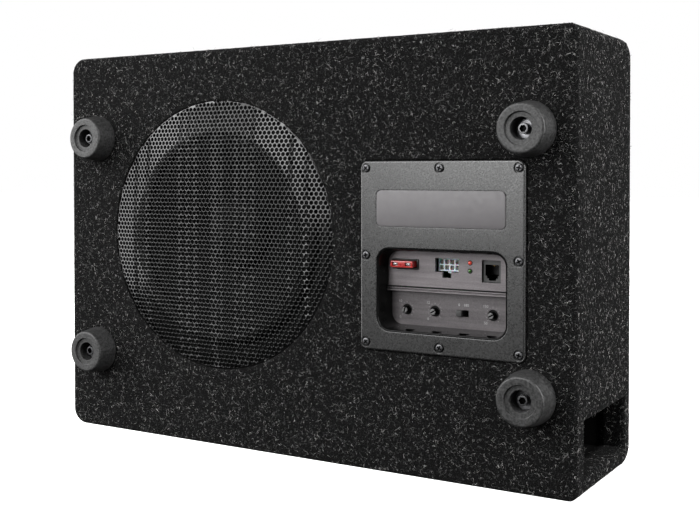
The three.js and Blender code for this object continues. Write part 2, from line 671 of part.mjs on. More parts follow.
// Three slotted shafts, each turning in a potentiometer on the circuit board.
function makeControls() {
  const [shaftR, shaftFront, bodyFront, boreEnd] = [2, UPPER_FACE + 0.2, 22, 27.6];
  for (const [name, { x, slot }] of Object.entries(CONTROLS)) {
    const body = blockAt(x, CONTROL_Z, 10, 11, bodyFront, BOARD_FRONT - GAP);
    const bore = rod(x, CONTROL_Z, shaftR + 0.3, 0, boreEnd, 20);
    part(`${name}_pot`, cut(body, bore), SMOOTH_PLASTIC);
    const slit = block(-0.45, 0.45, 0, shaftFront + 1.3, -4, 4)
      .rotateY(THREE.MathUtils.degToRad(slot))
      .translate(x, 0, CONTROL_Z);
    const shaft = rod(x, CONTROL_Z, shaftR, shaftFront, boreEnd - 0.4, 20);
    part(`${name}_shaft`, cut(shaft, slit), SMOOTH_PLASTIC);
  }
}

function makeSwitch() {
  const { x, z } = SWITCH;
  const front = LOWER_FACE + 2 + GAP;
  const body = blockAt(x, z, 12.4, 7, front, BOARD_FRONT - GAP);
  part("phase_switch", cut(body, blockAt(x, z, 8.6, 4.5, 0, 24.4)), BLACK_PLASTIC);
  part("phase_lever", blockAt(x - 2.15, z, 4, 4, LOWER_FACE - 1.8, 24), SMOOTH_PLASTIC);
}

makeBoards();
makeCarpet();
makeGrille();
makeBasket();
makeCone();
makeMotor();
makeTerminals();
makeSpeakerCable();
makeFeet();
makeFaceplate();
makeTray();
makePanel();
makeHeatSink();
makeBoard();
makeFuse();
makeSockets();
makeLights();
makeControls();
makeSwitch();

export default model;
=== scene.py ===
"""Looks of the powered car subwoofer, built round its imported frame.

Metres, +Z up, driver and controls towards -Y. Outlines are drawn in x and z, anticlockwise
as seen from the front, and y is depth, growing towards the back.
"""
import json
import math
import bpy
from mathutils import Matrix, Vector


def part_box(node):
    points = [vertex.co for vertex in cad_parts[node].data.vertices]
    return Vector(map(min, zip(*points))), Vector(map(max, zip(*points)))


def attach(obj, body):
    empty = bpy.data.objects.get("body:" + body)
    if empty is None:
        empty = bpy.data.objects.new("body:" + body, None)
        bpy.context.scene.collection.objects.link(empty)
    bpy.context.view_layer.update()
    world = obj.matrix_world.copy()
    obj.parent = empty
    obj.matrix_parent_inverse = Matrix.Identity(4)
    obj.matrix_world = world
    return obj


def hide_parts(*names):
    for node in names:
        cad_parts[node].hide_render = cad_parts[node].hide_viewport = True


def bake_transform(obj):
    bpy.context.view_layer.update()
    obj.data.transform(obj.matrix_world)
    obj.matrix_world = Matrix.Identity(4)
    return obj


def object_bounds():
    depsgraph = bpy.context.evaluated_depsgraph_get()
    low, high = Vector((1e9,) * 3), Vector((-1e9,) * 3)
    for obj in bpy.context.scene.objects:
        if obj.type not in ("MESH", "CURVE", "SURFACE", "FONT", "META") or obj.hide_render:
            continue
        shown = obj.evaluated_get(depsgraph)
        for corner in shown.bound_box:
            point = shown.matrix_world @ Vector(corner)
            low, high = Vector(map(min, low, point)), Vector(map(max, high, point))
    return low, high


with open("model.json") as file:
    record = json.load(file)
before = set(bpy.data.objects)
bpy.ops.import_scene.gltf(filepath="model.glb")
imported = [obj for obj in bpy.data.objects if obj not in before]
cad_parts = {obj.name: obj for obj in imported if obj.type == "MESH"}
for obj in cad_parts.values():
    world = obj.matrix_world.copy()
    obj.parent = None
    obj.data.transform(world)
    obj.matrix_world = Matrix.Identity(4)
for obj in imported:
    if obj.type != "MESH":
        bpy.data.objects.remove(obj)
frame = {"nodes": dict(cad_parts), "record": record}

from types import SimpleNamespace

import bmesh
import bpy
import numpy as np
from mathutils import Euler, Vector, noise
from mathutils.geometry import delaunay_2d_cdt

CAD_LOW, CAD_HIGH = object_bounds()
MM = 0.001
SAME = 1e-7  # places closer than this are one
TINY = 1e-6  # slack when places are compared
SHARP_DEG = 32  # edges that turn more than this are drawn sharp
ENCLOSURE = "enclosure"
TRIMS = ("gain", "boost", "low_pass")


# ------------------------------------------------------------------ camera and studio
def make_camera():
    data = bpy.data.cameras.new("camera")
    data.sensor_width = 36
    data.lens = 56.47
    data.shift_x, data.shift_y = 0.0616, -0.1009
    camera = bpy.data.objects.new("camera", data)
    felt_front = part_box("carpet_cover")[0].y
    camera.location = (0.4352, felt_front - 0.6653, 0.2073)
    camera.rotation_euler = Euler([math.radians(a) for a in (88.945, 0.071, 32.248)])
    bpy.context.scene.collection.objects.link(camera)
    bpy.context.scene.camera = camera


def soft_box(name, azimuth, elevation, width, height, strength, reach=1.6):
    """A rectangular light, placed and sized by the angles it fills from the box's middle."""
    turn, rise = math.radians(azimuth), math.radians(elevation)
    toward = Vector((math.sin(turn) * math.cos(rise), -math.cos(turn) * math.cos(rise),
                     math.sin(rise)))
    data = bpy.data.lights.new(name, "AREA")
    data.shape = "RECTANGLE"
    data.size = 2 * reach * math.tan(math.radians(width / 2))
    data.size_y = 2 * reach * math.tan(math.radians(height / 2))
    data.energy = strength * math.pi * data.size * data.size_y
    light = bpy.data.objects.new(name, data)
    light.location = (CAD_LOW + CAD_HIGH) / 2 + toward * reach
    light.rotation_euler = (-toward).to_track_quat("-Z", "Y").to_euler()
    bpy.context.scene.collection.objects.link(light)


def make_lighting():
    """An arch of soft boxes, to the left, in front and above, and one for the port's end."""
    soft_box("left_box", -63, 14, 30, 52, 4.4)
    soft_box("front_box", -17, 18, 22, 36, 4.6)
    soft_box("top_box", -32, 37, 66, 50, 2.4)
    soft_box("right_box", 88, 22, 44, 50, 5.5)


def make_world():
    """White to the eye, with only a weak fill, brighter overhead, for what lights the box."""
    world = bpy.data.worlds.new("studio")
    world.use_nodes = True
    bpy.context.scene.world = world
    nodes, links = world.node_tree.nodes, world.node_tree.links
    backdrop = nodes["Background"]
    backdrop.inputs["Color"].default_value = (1, 1, 1, 1)
    backdrop.inputs["Strength"].default_value = 1.0
    place = nodes.new("ShaderNodeTexCoord")
    split = nodes.new("ShaderNodeSeparateXYZ")
    height = nodes.new("ShaderNodeMapRange")
    height.inputs["From Min"].default_value = -0.3
    height.inputs["To Min"].default_value = 0.04
    height.inputs["To Max"].default_value = 0.5
    fill = nodes.new("ShaderNodeBackground")
    path = nodes.new("ShaderNodeLightPath")
    mix = nodes.new("ShaderNodeMixShader")
    links.new(place.outputs["Generated"], split.inputs[0])
    links.new(split.outputs["Z"], height.inputs["Value"])
    links.new(height.outputs["Result"], fill.inputs["Strength"])
    links.new(path.outputs["Is Camera Ray"], mix.inputs["Fac"])
    links.new(fill.outputs[0], mix.inputs[1])
    links.new(backdrop.outputs[0], mix.inputs[2])
    links.new(mix.outputs[0], nodes["World Output"].inputs["Surface"])


def make_floor():
    bpy.ops.mesh.primitive_plane_add(size=16, location=(0, 0, 0))
    floor = bpy.context.object
    floor.name = "floor"
    paint = Paint("floor_paper", grey(0.93), 0.9)
    paint.tint([(0.4, grey(0.92)), (0.6, grey(0.94))], paint.noise(3))
    paint.shader.inputs["Emission Color"].default_value = (1, 1, 1, 1)
    paint.shader.inputs["Emission Strength"].default_value = 0.8
    floor.data.materials.append(paint.material)
    floor.visible_diffuse = False
    floor.visible_glossy = False


# ------------------------------------------------------------------ materials
class Paint:
    """A Principled material whose pattern lives in the row frame, in metres."""

    def __init__(self, name, color, roughness, metallic=0.0, **uniform):
        self.material = bpy.data.materials.new(name)
        self.material.use_nodes = True
        self.nodes = self.material.node_tree.nodes
        self.links = self.material.node_tree.links
        self.shader = self.nodes["Principled BSDF"]
        self.place = self.nodes.new("ShaderNodeTexCoord").outputs["Object"]
        values = {"Base Color": (*color, 1), "Roughness": roughness, "Metallic": metallic}
        values.update({key.replace("_", " "): value for key, value in uniform.items()})
        for socket, value in values.items():
            self.shader.inputs[socket].default_value = value

    def node(self, kind, inputs, **settings):
        made = self.nodes.new(kind)
        for key, value in settings.items():
            setattr(made, key, value)
        for key, value in inputs.items():
            if isinstance(value, bpy.types.NodeSocket):
                self.links.new(value, made.inputs[key])
            else:
                made.inputs[key].default_value = value
        return made

    def noise(self, size_mm, detail=2.0, rough=0.5, place=None, output="Fac"):
        """Noise whose lumps are about size_mm across."""
        inputs = {"Vector": place or self.place, "Scale": 1000 / size_mm, "Detail": detail,
                  "Roughness": rough}
        return self.node("ShaderNodeTexNoise", inputs).outputs[output]

    def cells(self, size_mm, feature, output, place=None):
        inputs = {"Vector": place or self.place, "Scale": 1000 / size_mm}
        return self.node("ShaderNodeTexVoronoi", inputs, feature=feature).outputs[output]

    def stretched(self, along):
        """The place, squeezed along each axis, so that a pattern draws out along it."""
        return self.node("ShaderNodeVectorMath", {0: self.place, 1: along},
                         operation="MULTIPLY").outputs[0]

    def math(self, operation, a, b=0.0):
        return self.node("ShaderNodeMath", {0: a, 1: b}, operation=operation).outputs[0]

    def window(self, value, low, high, start=0.0, end=1.0):
        """start below low, end above high, and straight between them."""
        inputs = {"Value": value, "From Min": low, "From Max": high, "To Min": start,
                  "To Max": end}
        return self.node("ShaderNodeMapRange", inputs).outputs["Result"]

    def ramp(self, fac, stops):
        made = self.node("ShaderNodeValToRGB", {"Fac": fac})
        elements = made.color_ramp.elements
        for _ in stops[2:]:
            elements.new(0.5)
        for element, (at, _) in zip(elements, stops):
            element.position = at
        for element, (_, color) in zip(elements, stops):
            element.color = (*color, 1)
        return made.outputs["Color"]

    def mix(self, fac, a, b):
        inputs = {0: fac, 6: a, 7: b}
        made = self.node("ShaderNodeMix", inputs, data_type="RGBA")
        return made.outputs[2]

    def tint(self, stops, fac):
        color = self.ramp(fac, stops)
        self.links.new(color, self.shader.inputs["Base Color"])
        return color

    def rough(self, fac, low, high):
        self.links.new(self.window(fac, 0.3, 0.7, low, high), self.shader.inputs["Roughness"])

    def bump(self, height, depth_mm, strength=1.0):
        inputs = {"Height": height, "Strength": strength, "Distance": depth_mm * MM}
        made = self.node("ShaderNodeBump", inputs)
        self.links.new(made.outputs["Normal"], self.shader.inputs["Normal"])
        return made

    def deep(self, y0, y1):
        """0 in front of y0, 1 behind y1."""
        split = self.node("ShaderNodeSeparateXYZ", {0: self.place})
        return self.window(split.outputs["Y"], y0, y1)


def grey(value, warm=0.0):
    return (value * (1 + warm), value, value * (1 - warm))


def felt():
    """Needle-punched charcoal felt: a near-black matted ground with thin curled strands."""
    paint = Paint("felt", grey(0.01), 0.95, Sheen_Weight=0.0, Specular_IOR_Level=0.1)
    color = paint.ramp(paint.noise(0.6, 2, 0.7), [
        (0.36, grey(0.0008)), (0.5, grey(0.0024)), (0.64, grey(0.014))])
    strands = None
    # size across in mm, half width, share left out and paleness of each kind of strand
    kinds = ((1.9, 0.026, 0.52, 0.045), (3.0, 0.016, 0.54, 0.12), (4.4, 0.010, 0.54, 0.26))
    for size, width, keep, value in kinds:
        line = paint.math("ABSOLUTE", paint.math("SUBTRACT", paint.noise(size, 1.5), 0.5))
        line = paint.window(line, 0.0, width, 1.0, 0.0)
        piece = paint.window(paint.noise(size * 0.55, 1), keep, keep + 0.06)
        strand = paint.math("MULTIPLY", line, piece)
        color = paint.mix(strand, color, (*grey(value, 0.01), 1))
        strands = strand if strands is None else paint.math("MAXIMUM", strands, strand)
    paint.links.new(color, paint.shader.inputs["Base Color"])
    lumps = paint.math("ADD", paint.noise(0.7, 3, 0.7), paint.math("MULTIPLY", strands, 0.4))
    paint.bump(lumps, 0.3, 0.8)
    return paint.material


def fibre():
    """Pale polyester strands, some darker than others."""
    paint = Paint("loose_fibre", grey(0.2), 0.6, Specular_IOR_Level=0.2)
    paint.tint([(0.36, grey(0.04)), (0.50, grey(0.20, 0.01)), (0.64, grey(0.88, 0.02))],
               paint.noise(2.2, 2, 0.6))
    return paint.material


def powder_coat(name, value, roughness, grain_mm, depth_mm, spread=0.3, **uniform):
    """Textured paint: fine even grain with slight speckle."""
    paint = Paint(name, grey(value), roughness, **uniform)
    grain = paint.noise(grain_mm, 3, 0.6)
    paint.tint([(0.36, grey(value * (1 - spread))), (0.64, grey(value * (1 + spread)))], grain)
    paint.rough(paint.noise(grain_mm * 2.5), roughness - 0.06, roughness + 0.08)
    paint.bump(grain, depth_mm, 0.8)
    return paint.material


def moulded(name, color, roughness, grain_mm=0.6, depth_mm=0.02, spread=0.25, bore=None,
            **uniform):
    """Moulded plastic or rubber: faint flow marks, fine skin and handling haze. If the bore's
    two depths are given, it is painted black and dull behind them, a painted shade."""
    paint = Paint(name, color, roughness, **uniform)
    flow = paint.noise(9, 3, 0.6)
    low, high = (tuple(c * k for c in color) for k in (1 - spread, 1 + spread))
    skin = paint.tint([(0.3, low), (0.7, high)], flow)
    # Painted shade: black base colour and little reflection behind the bore's depths.
    if bore:
        paint.links.new(paint.mix(paint.deep(*bore), skin, (*grey(0.001), 1)),
                        paint.shader.inputs["Base Color"])
        paint.links.new(paint.window(paint.deep(*bore), 0, 1, 0.5, 0.05),
                        paint.shader.inputs["Specular IOR Level"])
    paint.rough(paint.noise(4, 3), max(roughness - 0.07, 0.05), roughness + 0.08)
    paint.bump(paint.noise(grain_mm, 2), depth_mm, 0.6)
    return paint.material


def metal(name, color, roughness, along=(1, 1, 1), grain_mm=0.7, depth_mm=0.01, recess_shade_depths=None):
    """Bare or plated metal, with its rolling or turning marks drawn out along an axis. Its
    recesses are painted black between the two depths given, a painted shade."""
    paint = Paint(name, color, roughness, 1.0)
    marks = paint.noise(grain_mm, 3, 0.6, paint.stretched(along))
    low, high = (tuple(c * k for c in color) for k in (0.8, 1.12))
    clean = paint.tint([(0.3, low), (0.7, high)], marks)
    # Painted shade: behind the given depths the metal is painted black.
    if recess_shade_depths:
        recess_shade = paint.deep(*recess_shade_depths)
        paint.links.new(paint.mix(recess_shade, clean, (*grey(0.004), 1)),
                        paint.shader.inputs["Base Color"])
    paint.rough(marks, max(roughness - 0.08, 0.05), roughness + 0.12)
    paint.bump(marks, depth_mm, 0.5)
    return paint.material


def board(name, color, dark, light, roughness, **uniform):
    """Pressed fibreboard: close fibres, darker where they clump."""
    paint = Paint(name, color, roughness, **uniform)
    fibres = paint.noise(0.9, 4, 0.7, paint.stretched((0.35, 1, 1)))
    paint.tint([(0.3, dark), (0.7, light)], fibres)
    paint.bump(fibres, 0.05, 0.6)
    return paint.material


def cloth(name, color, pitch_mm):
    """Plain weave: two sets of threads crossing."""
    paint = Paint(name, color, 0.85)
    threads = None
    for axis in ("X", "Z"):
        inputs = {"Vector": paint.place, "Scale": 1000 / pitch_mm / 6.28}
        wave = paint.node("ShaderNodeTexWave", inputs, bands_direction=axis).outputs["Fac"]
        threads = wave if threads is None else paint.math("MULTIPLY", threads, wave)
    low = tuple(c * 0.55 for c in color)
    paint.tint([(0.1, low), (0.8, color)], threads)
    paint.bump(threads, 0.12, 0.8)
    return paint.material


def wound(name, color, pitch_mm, axis):
    """Enamelled wire laid side by side."""
    paint = Paint(name, color, 0.3, 0.9)
    inputs = {"Vector": paint.place, "Scale": 1000 / pitch_mm / 6.28}
    turns = paint.node("ShaderNodeTexWave", inputs, bands_direction=axis).outputs["Fac"]
    low = tuple(c * 0.45 for c in color)
    paint.tint([(0.05, low), (0.6, color)], turns)
    paint.bump(turns, 0.15, 0.9)
    return paint.material


def tinted_plastic(name, color, inner, glow=0.0, thick=None):
    """Clear coloured plastic, painted dark red behind the first of the two depths given, a painted
    shade.
    """
    paint = Paint(name, color, 0.14, Coat_Weight=1.0, Coat_Roughness=0.05,
                  Subsurface_Weight=0.3, Subsurface_Scale=0.002)
    paint.shader.inputs["Subsurface Radius"].default_value = (1.0, 0.15, 0.1)
    shade = paint.tint([(0.35, inner), (0.65, color)], paint.noise(1.1, 2))
    # Painted shade: the sides behind the front face are painted dark red.
    if thick:
        dark = paint.mix(paint.deep(*thick), shade, (0.22, 0.006, 0.008, 1))
        paint.links.new(dark, paint.shader.inputs["Base Color"])
    # Emission in the plastic's own colour; the faint glow of the fuse and the green lens is painted
    # light.
    paint.shader.inputs["Emission Color"].default_value = (*color, 1)
    paint.shader.inputs["Emission Strength"].default_value = glow
    paint.bump(paint.noise(0.8), 0.03, 0.5)
    return paint.material


def circuit():
    """Green solder mask over copper tracks."""
    paint = Paint("solder_mask", (0.02, 0.10, 0.04), 0.35, Coat_Weight=0.4)
    tracks = paint.cells(5, "DISTANCE_TO_EDGE", "Distance")
    line = paint.window(tracks, 0.05, 0.09, 1.0, 0.0)
    paint.links.new(paint.mix(line, (0.012, 0.07, 0.03, 1), (0.05, 0.20, 0.07, 1)),
                    paint.shader.inputs["Base Color"])
    paint.bump(line, 0.05, 0.5)
    return paint.material


def anodised(step_front, step_back):
    """Grey anodised sheet with a fine grain and level streaks, with painted shade below its step.
    """
    paint = Paint("panel_anodised", grey(0.2, 0.03), 0.38, 0.42)
    grain = paint.noise(0.7, 3, 0.6)
    streak = paint.noise(2.0, 2, 0.5, paint.stretched((0.06, 1, 1)))
    blend = paint.math("ADD", paint.math("MULTIPLY", grain, 0.6),
                       paint.math("MULTIPLY", streak, 0.4))
    shade = paint.tint([(0.34, (0.135, 0.122, 0.128)), (0.66, (0.255, 0.235, 0.243))], blend)
    shadow = paint.math("MULTIPLY", paint.deep(step_front, step_back), 0.4)
    paint.links.new(paint.mix(shadow, shade, (*grey(0.02), 1)),
                    paint.shader.inputs["Base Color"])
    paint.rough(grain, 0.33, 0.46)
    paint.bump(grain, 0.02, 0.6)
    return paint.material


# ------------------------------------------------------------------ outlines and solids
def node_box(node):
    low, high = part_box(node)
    middle = (low + high) / 2
    size = high - low
    return SimpleNamespace(
        x0=low.x, x1=high.x, y0=low.y, y1=high.y, z0=low.z, z1=high.z,
        x=middle.x, y=middle.y, z=middle.z, w=size.x, d=size.y, h=size.z)


def opening(name):
    """A stated opening of the record, as a box."""
    found = next(o for o in frame["record"]["physics"]["openings"] if o["name"] == name)
    (x0, y0, z0), (x1, y1, z1) = found["box_m"]
    return SimpleNamespace(x0=x0, x1=x1, y0=y0, y1=y1, z0=z0, z1=z1,
                           x=(x0 + x1) / 2, z=(z0 + z1) / 2, w=x1 - x0, h=z1 - z0)


def circle(x, z, r, count=48):
    turn = 2 * math.pi / count
    return [(x + r * math.cos(i * turn), z + r * math.sin(i * turn)) for i in range(count)]


def rounded(x, z, w, h, r, arc=6):
    """A rounded rectangle with arc steps in each corner."""
    r = max(r, 0.02 * MM)
    points = []
    for sx, sz, start in ((1, -1, -90), (1, 1, 0), (-1, 1, 90), (-1, -1, 180)):
        cx, cz = x + sx * (w / 2 - r), z + sz * (h / 2 - r)
        for i in range(arc + 1):
            a = math.radians(start + 90 * i / arc)
            points.append((cx + r * math.cos(a), cz + r * math.sin(a)))
    return points


def soft_edges(y0, y1, front=0.0, back=0.0, steps=3):
    """(inset, y) of the rings of a block whose front and back edges are rounded."""
    quarter = [math.pi / 2 * i / steps for i in range(steps + 1)]
    rings = [(front * (1 - math.sin(a)), y0 + front * (1 - math.cos(a))) for a in quarter]
    rings += [(back * (1 - math.sin(a)), y1 - back * (1 - math.cos(a))) for a in quarter[::-1]]
    return [ring for i, ring in enumerate(rings) if i == 0 or ring != rings[i - 1]]


def tube(loops, closed=False):
    """Skins equal loops of points one after another, and caps the ends unless closed."""
    count = len(loops[0])
    verts = [p for loop in loops for p in loop]
    pairs = list(zip(range(len(loops)), range(1, len(loops))))
    if closed:
        pairs.append((len(loops) - 1, 0))
    faces = [
        (a * count + i, b * count + i, b * count + (i + 1) % count, a * count + (i + 1) % count)
        for a, b in pairs for i in range(count)
    ]
    if not closed:
        faces += [tuple(range(count)), tuple(range(len(verts) - 1, len(verts) - 1 - count, -1))]
    return verts, faces


def slab(x, z, w, h, r, y0, y1, front=0.0, back=0.0, arc=6):
    """A rounded-rectangle block from y0 back to y1."""
    return tube([
        [(px, y, pz) for px, pz in rounded(x, z, w - 2 * inset, h - 2 * inset, r - inset, arc)]
        for inset, y in soft_edges(y0, y1, front, back)
    ])


def rod(x, z, r, y0, y1, front=0.0, back=0.0, count=32):
    return tube([
        [(px, y, pz) for px, pz in circle(x, z, r - inset, count)]
        for inset, y in soft_edges(y0, y1, front, back)
    ])


def box_at(x0, x1, y0, y1, z0, z1, edge=0.0):
    w, h = x1 - x0, z1 - z0
    return slab((x0 + x1) / 2, (z0 + z1) / 2, w, h, edge, y0, y1, edge, edge, 2)


def soften(points, fillet, steps=3, closed=False):
    """Rounds the corners of a profile of (r, y). Open ends stay."""
    out = []
    for i, point in enumerate(points):
        inner = closed or 0 < i < len(points) - 1
        if not inner:
            out.append(point)
            continue
        p = Vector(point)
        before, after = Vector(points[i - 1]), Vector(points[(i + 1) % len(points)])
        a, b = before - p, after - p
        cut = min(fillet, a.length * 0.45, b.length * 0.45)
        start, end = p + a.normalized() * cut, p + b.normalized() * cut
        for k in range(steps + 1):
            t = k / steps
            at = start * (1 - t) ** 2 + p * 2 * t * (1 - t) + end * t * t
            out.append((at.x, at.y))
    return out


def lathe(profile, x, z, count=64):
    """Turns a profile of (radius, y) about an axis along y. Off the axis it closes on itself."""
    verts, faces, rows = [], [], []
    for r, y in profile:
        if r < SAME:
            rows.append([len(verts)] * count)
            verts.append((x, y, z))
            continue
        rows.append([len(verts) + i for i in range(count)])
        verts += [(px, y, pz) for px, pz in circle(x, z, r, count)]
    pairs = list(zip(rows, rows[1:]))
    if profile[0][0] > SAME:
        pairs.append((rows[-1], rows[0]))
    for a, b in pairs:
        for i in range(count):
            j = (i + 1) % count
            corners = [a[i], b[i], b[j], a[j]]
            face = [c for k, c in enumerate(corners) if c != corners[k - 1]]
            if len(face) > 2:
                faces.append(tuple(face))
    return verts, faces


def washer_section(inner_r, outer_r, y0, y1, fillet):
    """Profile of a flat ring between two radii and two depths, with its corners rounded."""
    return soften([(inner_r, y0), (outer_r, y0), (outer_r, y1), (inner_r, y1)], fillet,
                  closed=True)


def joined(*solids):
    verts, faces = [], []
    for more_verts, more_faces in solids:
        base = len(verts)
        verts += more_verts
        faces += [tuple(base + i for i in face) for face in more_faces]
    return verts, faces


def flat_region(outer, holes, y, more=()):
    """Triangles that fill outer, less the holes, at depth y, using more inner points."""
    loops = [outer, *holes]
    points = [Vector(p) for loop in loops for p in loop] + [Vector(p) for p in more]
    rings, start = [], 0
    for loop in loops:
        rings.append(list(range(start, start + len(loop))))
        start += len(loop)
    edges = [(ring[i - 1], ring[i]) for ring in rings for i in range(len(ring))]
    made = delaunay_2d_cdt(points, edges, [rings[0]] + [r[::-1] for r in rings[1:]], 2, SAME)
    places, _, faces = made[:3]

    def in_a_hole(face):
        middle = sum((places[i] for i in face), Vector((0, 0))) / len(face)
        return any(inside(middle, hole) for hole in holes)

    kept = [tuple(face) for face in faces if not in_a_hole(face)]
    return [(p.x, y, p.y) for p in places], kept


def inside(point, loop):
    """True if a point lies in a closed outline."""
    x, z = point
    crossings = 0
    for (x0, z0), (x1, z1) in zip(loop, loop[1:] + loop[:1]):
        if (z0 > z) != (z1 > z) and x < (x1 - x0) * (z - z0) / (z1 - z0) + x0:
            crossings += 1
    return crossings % 2 == 1


def finish_mesh(name, solid, sharp_deg=SHARP_DEG, merge=SAME):
    verts, faces = solid
    mesh = bpy.data.meshes.new(name)
    mesh.from_pydata(verts, [], faces)
    work = bmesh.new()
    work.from_mesh(mesh)
    bmesh.ops.remove_doubles(work, verts=work.verts, dist=merge)
    bmesh.ops.dissolve_degenerate(work, edges=work.edges, dist=merge)
    bmesh.ops.recalc_face_normals(work, faces=work.faces)
    work.to_mesh(mesh)
    work.free()
    mesh.polygons.foreach_set("use_smooth", [True] * len(mesh.polygons))
    mesh.set_sharp_from_angle(angle=math.radians(sharp_deg))
    mesh.update()
    return mesh


def add_piece(name, solid, material, replaces=(), body=ENCLOSURE,
              sharp_deg=SHARP_DEG):
    """A finished piece that rides on a body and may stand for CAD nodes."""
    mesh = solid if isinstance(solid, bpy.types.Mesh) else finish_mesh(name, solid, sharp_deg)
    piece = bpy.data.objects.new(name, mesh)
    bpy.context.scene.collection.objects.link(piece)
    if not mesh.materials:
        mesh.materials.append(material)
    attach(piece, body)
    if replaces:
        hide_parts(*replaces)
    return piece


def leaning_bar(x, z, half_long, half_wide, lean, ends):
    """A bar turned by lean about (x, z), as its loops at each (depth, share of its length)."""
    loops = []
    for y, k in ends:
        corners = [(-half_long * k, -half_wide), (half_long * k, -half_wide),
                   (half_long * k, half_wide), (-half_long * k, half_wide)]
        loops.append([(x + a * math.cos(lean) - b * math.sin(lean), y,
                       z + a * math.sin(lean) + b * math.cos(lean)) for a, b in corners])
    return tube(loops)


def cut_mesh(name, solid, *tools):
    """A mesh with the tools' solids taken out of it."""
    made = []
    for part in (solid, joined(*tools)):
        item = bpy.data.objects.new(name, finish_mesh(name, part))
        bpy.context.scene.collection.objects.link(item)
        made.append(item)
    target, tool = made
    carve = target.modifiers.new("carve", "BOOLEAN")
    carve.operation, carve.solver, carve.object = "DIFFERENCE", "EXACT", tool
    carve.use_self = True
    bpy.context.view_layer.update()
    graph = bpy.context.evaluated_depsgraph_get()
    mesh = bpy.data.meshes.new_from_object(target.evaluated_get(graph), depsgraph=graph)
    for item in made:
        bpy.data.objects.remove(item)
    mesh.name = name
    mesh.polygons.foreach_set("use_smooth", [True] * len(mesh.polygons))
    mesh.set_sharp_from_angle(angle=math.radians(SHARP_DEG))
    return mesh


def cut_in_turn(name, solid, tools):
    """A mesh with the tools' solids taken out one after another, as they may overlap."""
    mesh = cut_mesh(name, solid, tools[0])
    for tool in tools[1:]:
        verts = [v.co[:] for v in mesh.vertices]
        faces = [tuple(p.vertices) for p in mesh.polygons]
        mesh = cut_mesh(name, (verts, faces), tool)
    return mesh


def flat_faced(piece):
    """Keeps broad faces flat next to their rounded edges."""
    weigh = piece.modifiers.new("flat_faces", "WEIGHTED_NORMAL")
    weigh.mode, weigh.weight, weigh.keep_sharp = "FACE_AREA", 90, True
    return piece


def bevelled(piece, width_mm, segments=2, angle_deg=40):
    """Softens a piece's sharp edges with a bevel modifier and keeps its broad faces flat."""
    bevel = piece.modifiers.new("bevel", "BEVEL")
    bevel.width, bevel.segments = width_mm * MM, segments
    bevel.limit_method, bevel.angle_limit = "ANGLE", math.radians(angle_deg)
    bevel.use_clamp_overlap = True
    return flat_faced(piece)


# ------------------------------------------------------------------ carpet
LEFT_R = 12 * MM  # long edges at the closed end
RIGHT_R = 6 * MM  # long edges at the port's end
BACK_R = 13 * MM  # top and bottom of the back
FOLD_R = 2.5 * MM
FOLD_STEPS = 4
FELT_THICK = 1.35 * MM
GRID = 4 * MM
LIP_R = 2.2 * MM  # felt's roll round the port mouth
SLEEVE = 17 * MM  # how far the felt is turned into the port


def spaced(start, end, step=GRID):
    """Places from start up to, but not at, end, about a step apart."""
    count = max(1, round(abs(end - start) / step))
    return [start + (end - start) * i / count for i in range(count)]


def carpet_outline(mouth_z):
    """(x, z, outward nx, nz) round the box, with places at the port mouth's own heights."""
    box = node_box("carpet_cover")
    left, right = box.x0 + LEFT_R, box.x1 - RIGHT_R

    def corner(cx, cz, r, start):
        for i in range(7):
            a = math.radians(start + 15 * i)
            nx, nz = math.cos(a), math.sin(a)
            yield (cx + r * nx, cz + r * nz, nx, nz)

    points = [(x, box.z0, 0, -1) for x in spaced(left, right)]
    points += list(corner(right, box.z0 + RIGHT_R, RIGHT_R, -90))
    heights = [z for z in mouth_z if box.z0 + RIGHT_R < z]
    heights += spaced(mouth_z[-1] + GRID, box.z1 - RIGHT_R)
    points += [(box.x1, z, 1, 0) for z in heights]
    points += list(corner(right, box.z1 - RIGHT_R, RIGHT_R, 0))
    points += [(x, box.z1, 0, 1) for x in spaced(right, left)[1:]]
    points += list(corner(left, box.z1 - LEFT_R, LEFT_R, 90))
    points += [(box.x0, z, -1, 0) for z in spaced(box.z1 - LEFT_R, box.z0 + LEFT_R)[1:]]
    points += list(corner(left, box.z0 + LEFT_R, LEFT_R, 180))[:-1]
    return points


def back_rounding(box, y):
    """Share of the box's height that is left at a depth, as the back's long edges curve in."""
    past = min(max(0.0, y - (box.y1 - BACK_R)), BACK_R)
    drop = BACK_R - math.sqrt(BACK_R ** 2 - past ** 2)
    return 1 - 2 * drop / box.h


def lip_stations(low, high):
    """Places across the port's mouth and its rounded lips on both sides."""
    lip = [LIP_R * k for k in (1, 0.62, 0.3, 0.1, 0)]
    return ([low - d for d in lip] + spaced(low, high)[1:] + [high + d for d in lip[::-1]])


def lip_sag(y, z, mouth):
    """How far the rounded lip round the mouth has dropped from the side's face."""
    away_y = max(mouth.y0 - y, y - mouth.y1, 0)
    away_z = max(mouth.z0 - z, z - mouth.z1, 0)
    away = math.hypot(away_y, away_z)
    if away >= LIP_R:
        return 0.0
    return LIP_R - math.sqrt(LIP_R ** 2 - (LIP_R - away) ** 2)


def felt_lumps(point):
    """Slight unevenness of the felt over the boards."""
    return 0.10 * MM * noise.noise(point / (7 * MM)) + 0.08 * MM * noise.noise(point / (2.5 * MM))


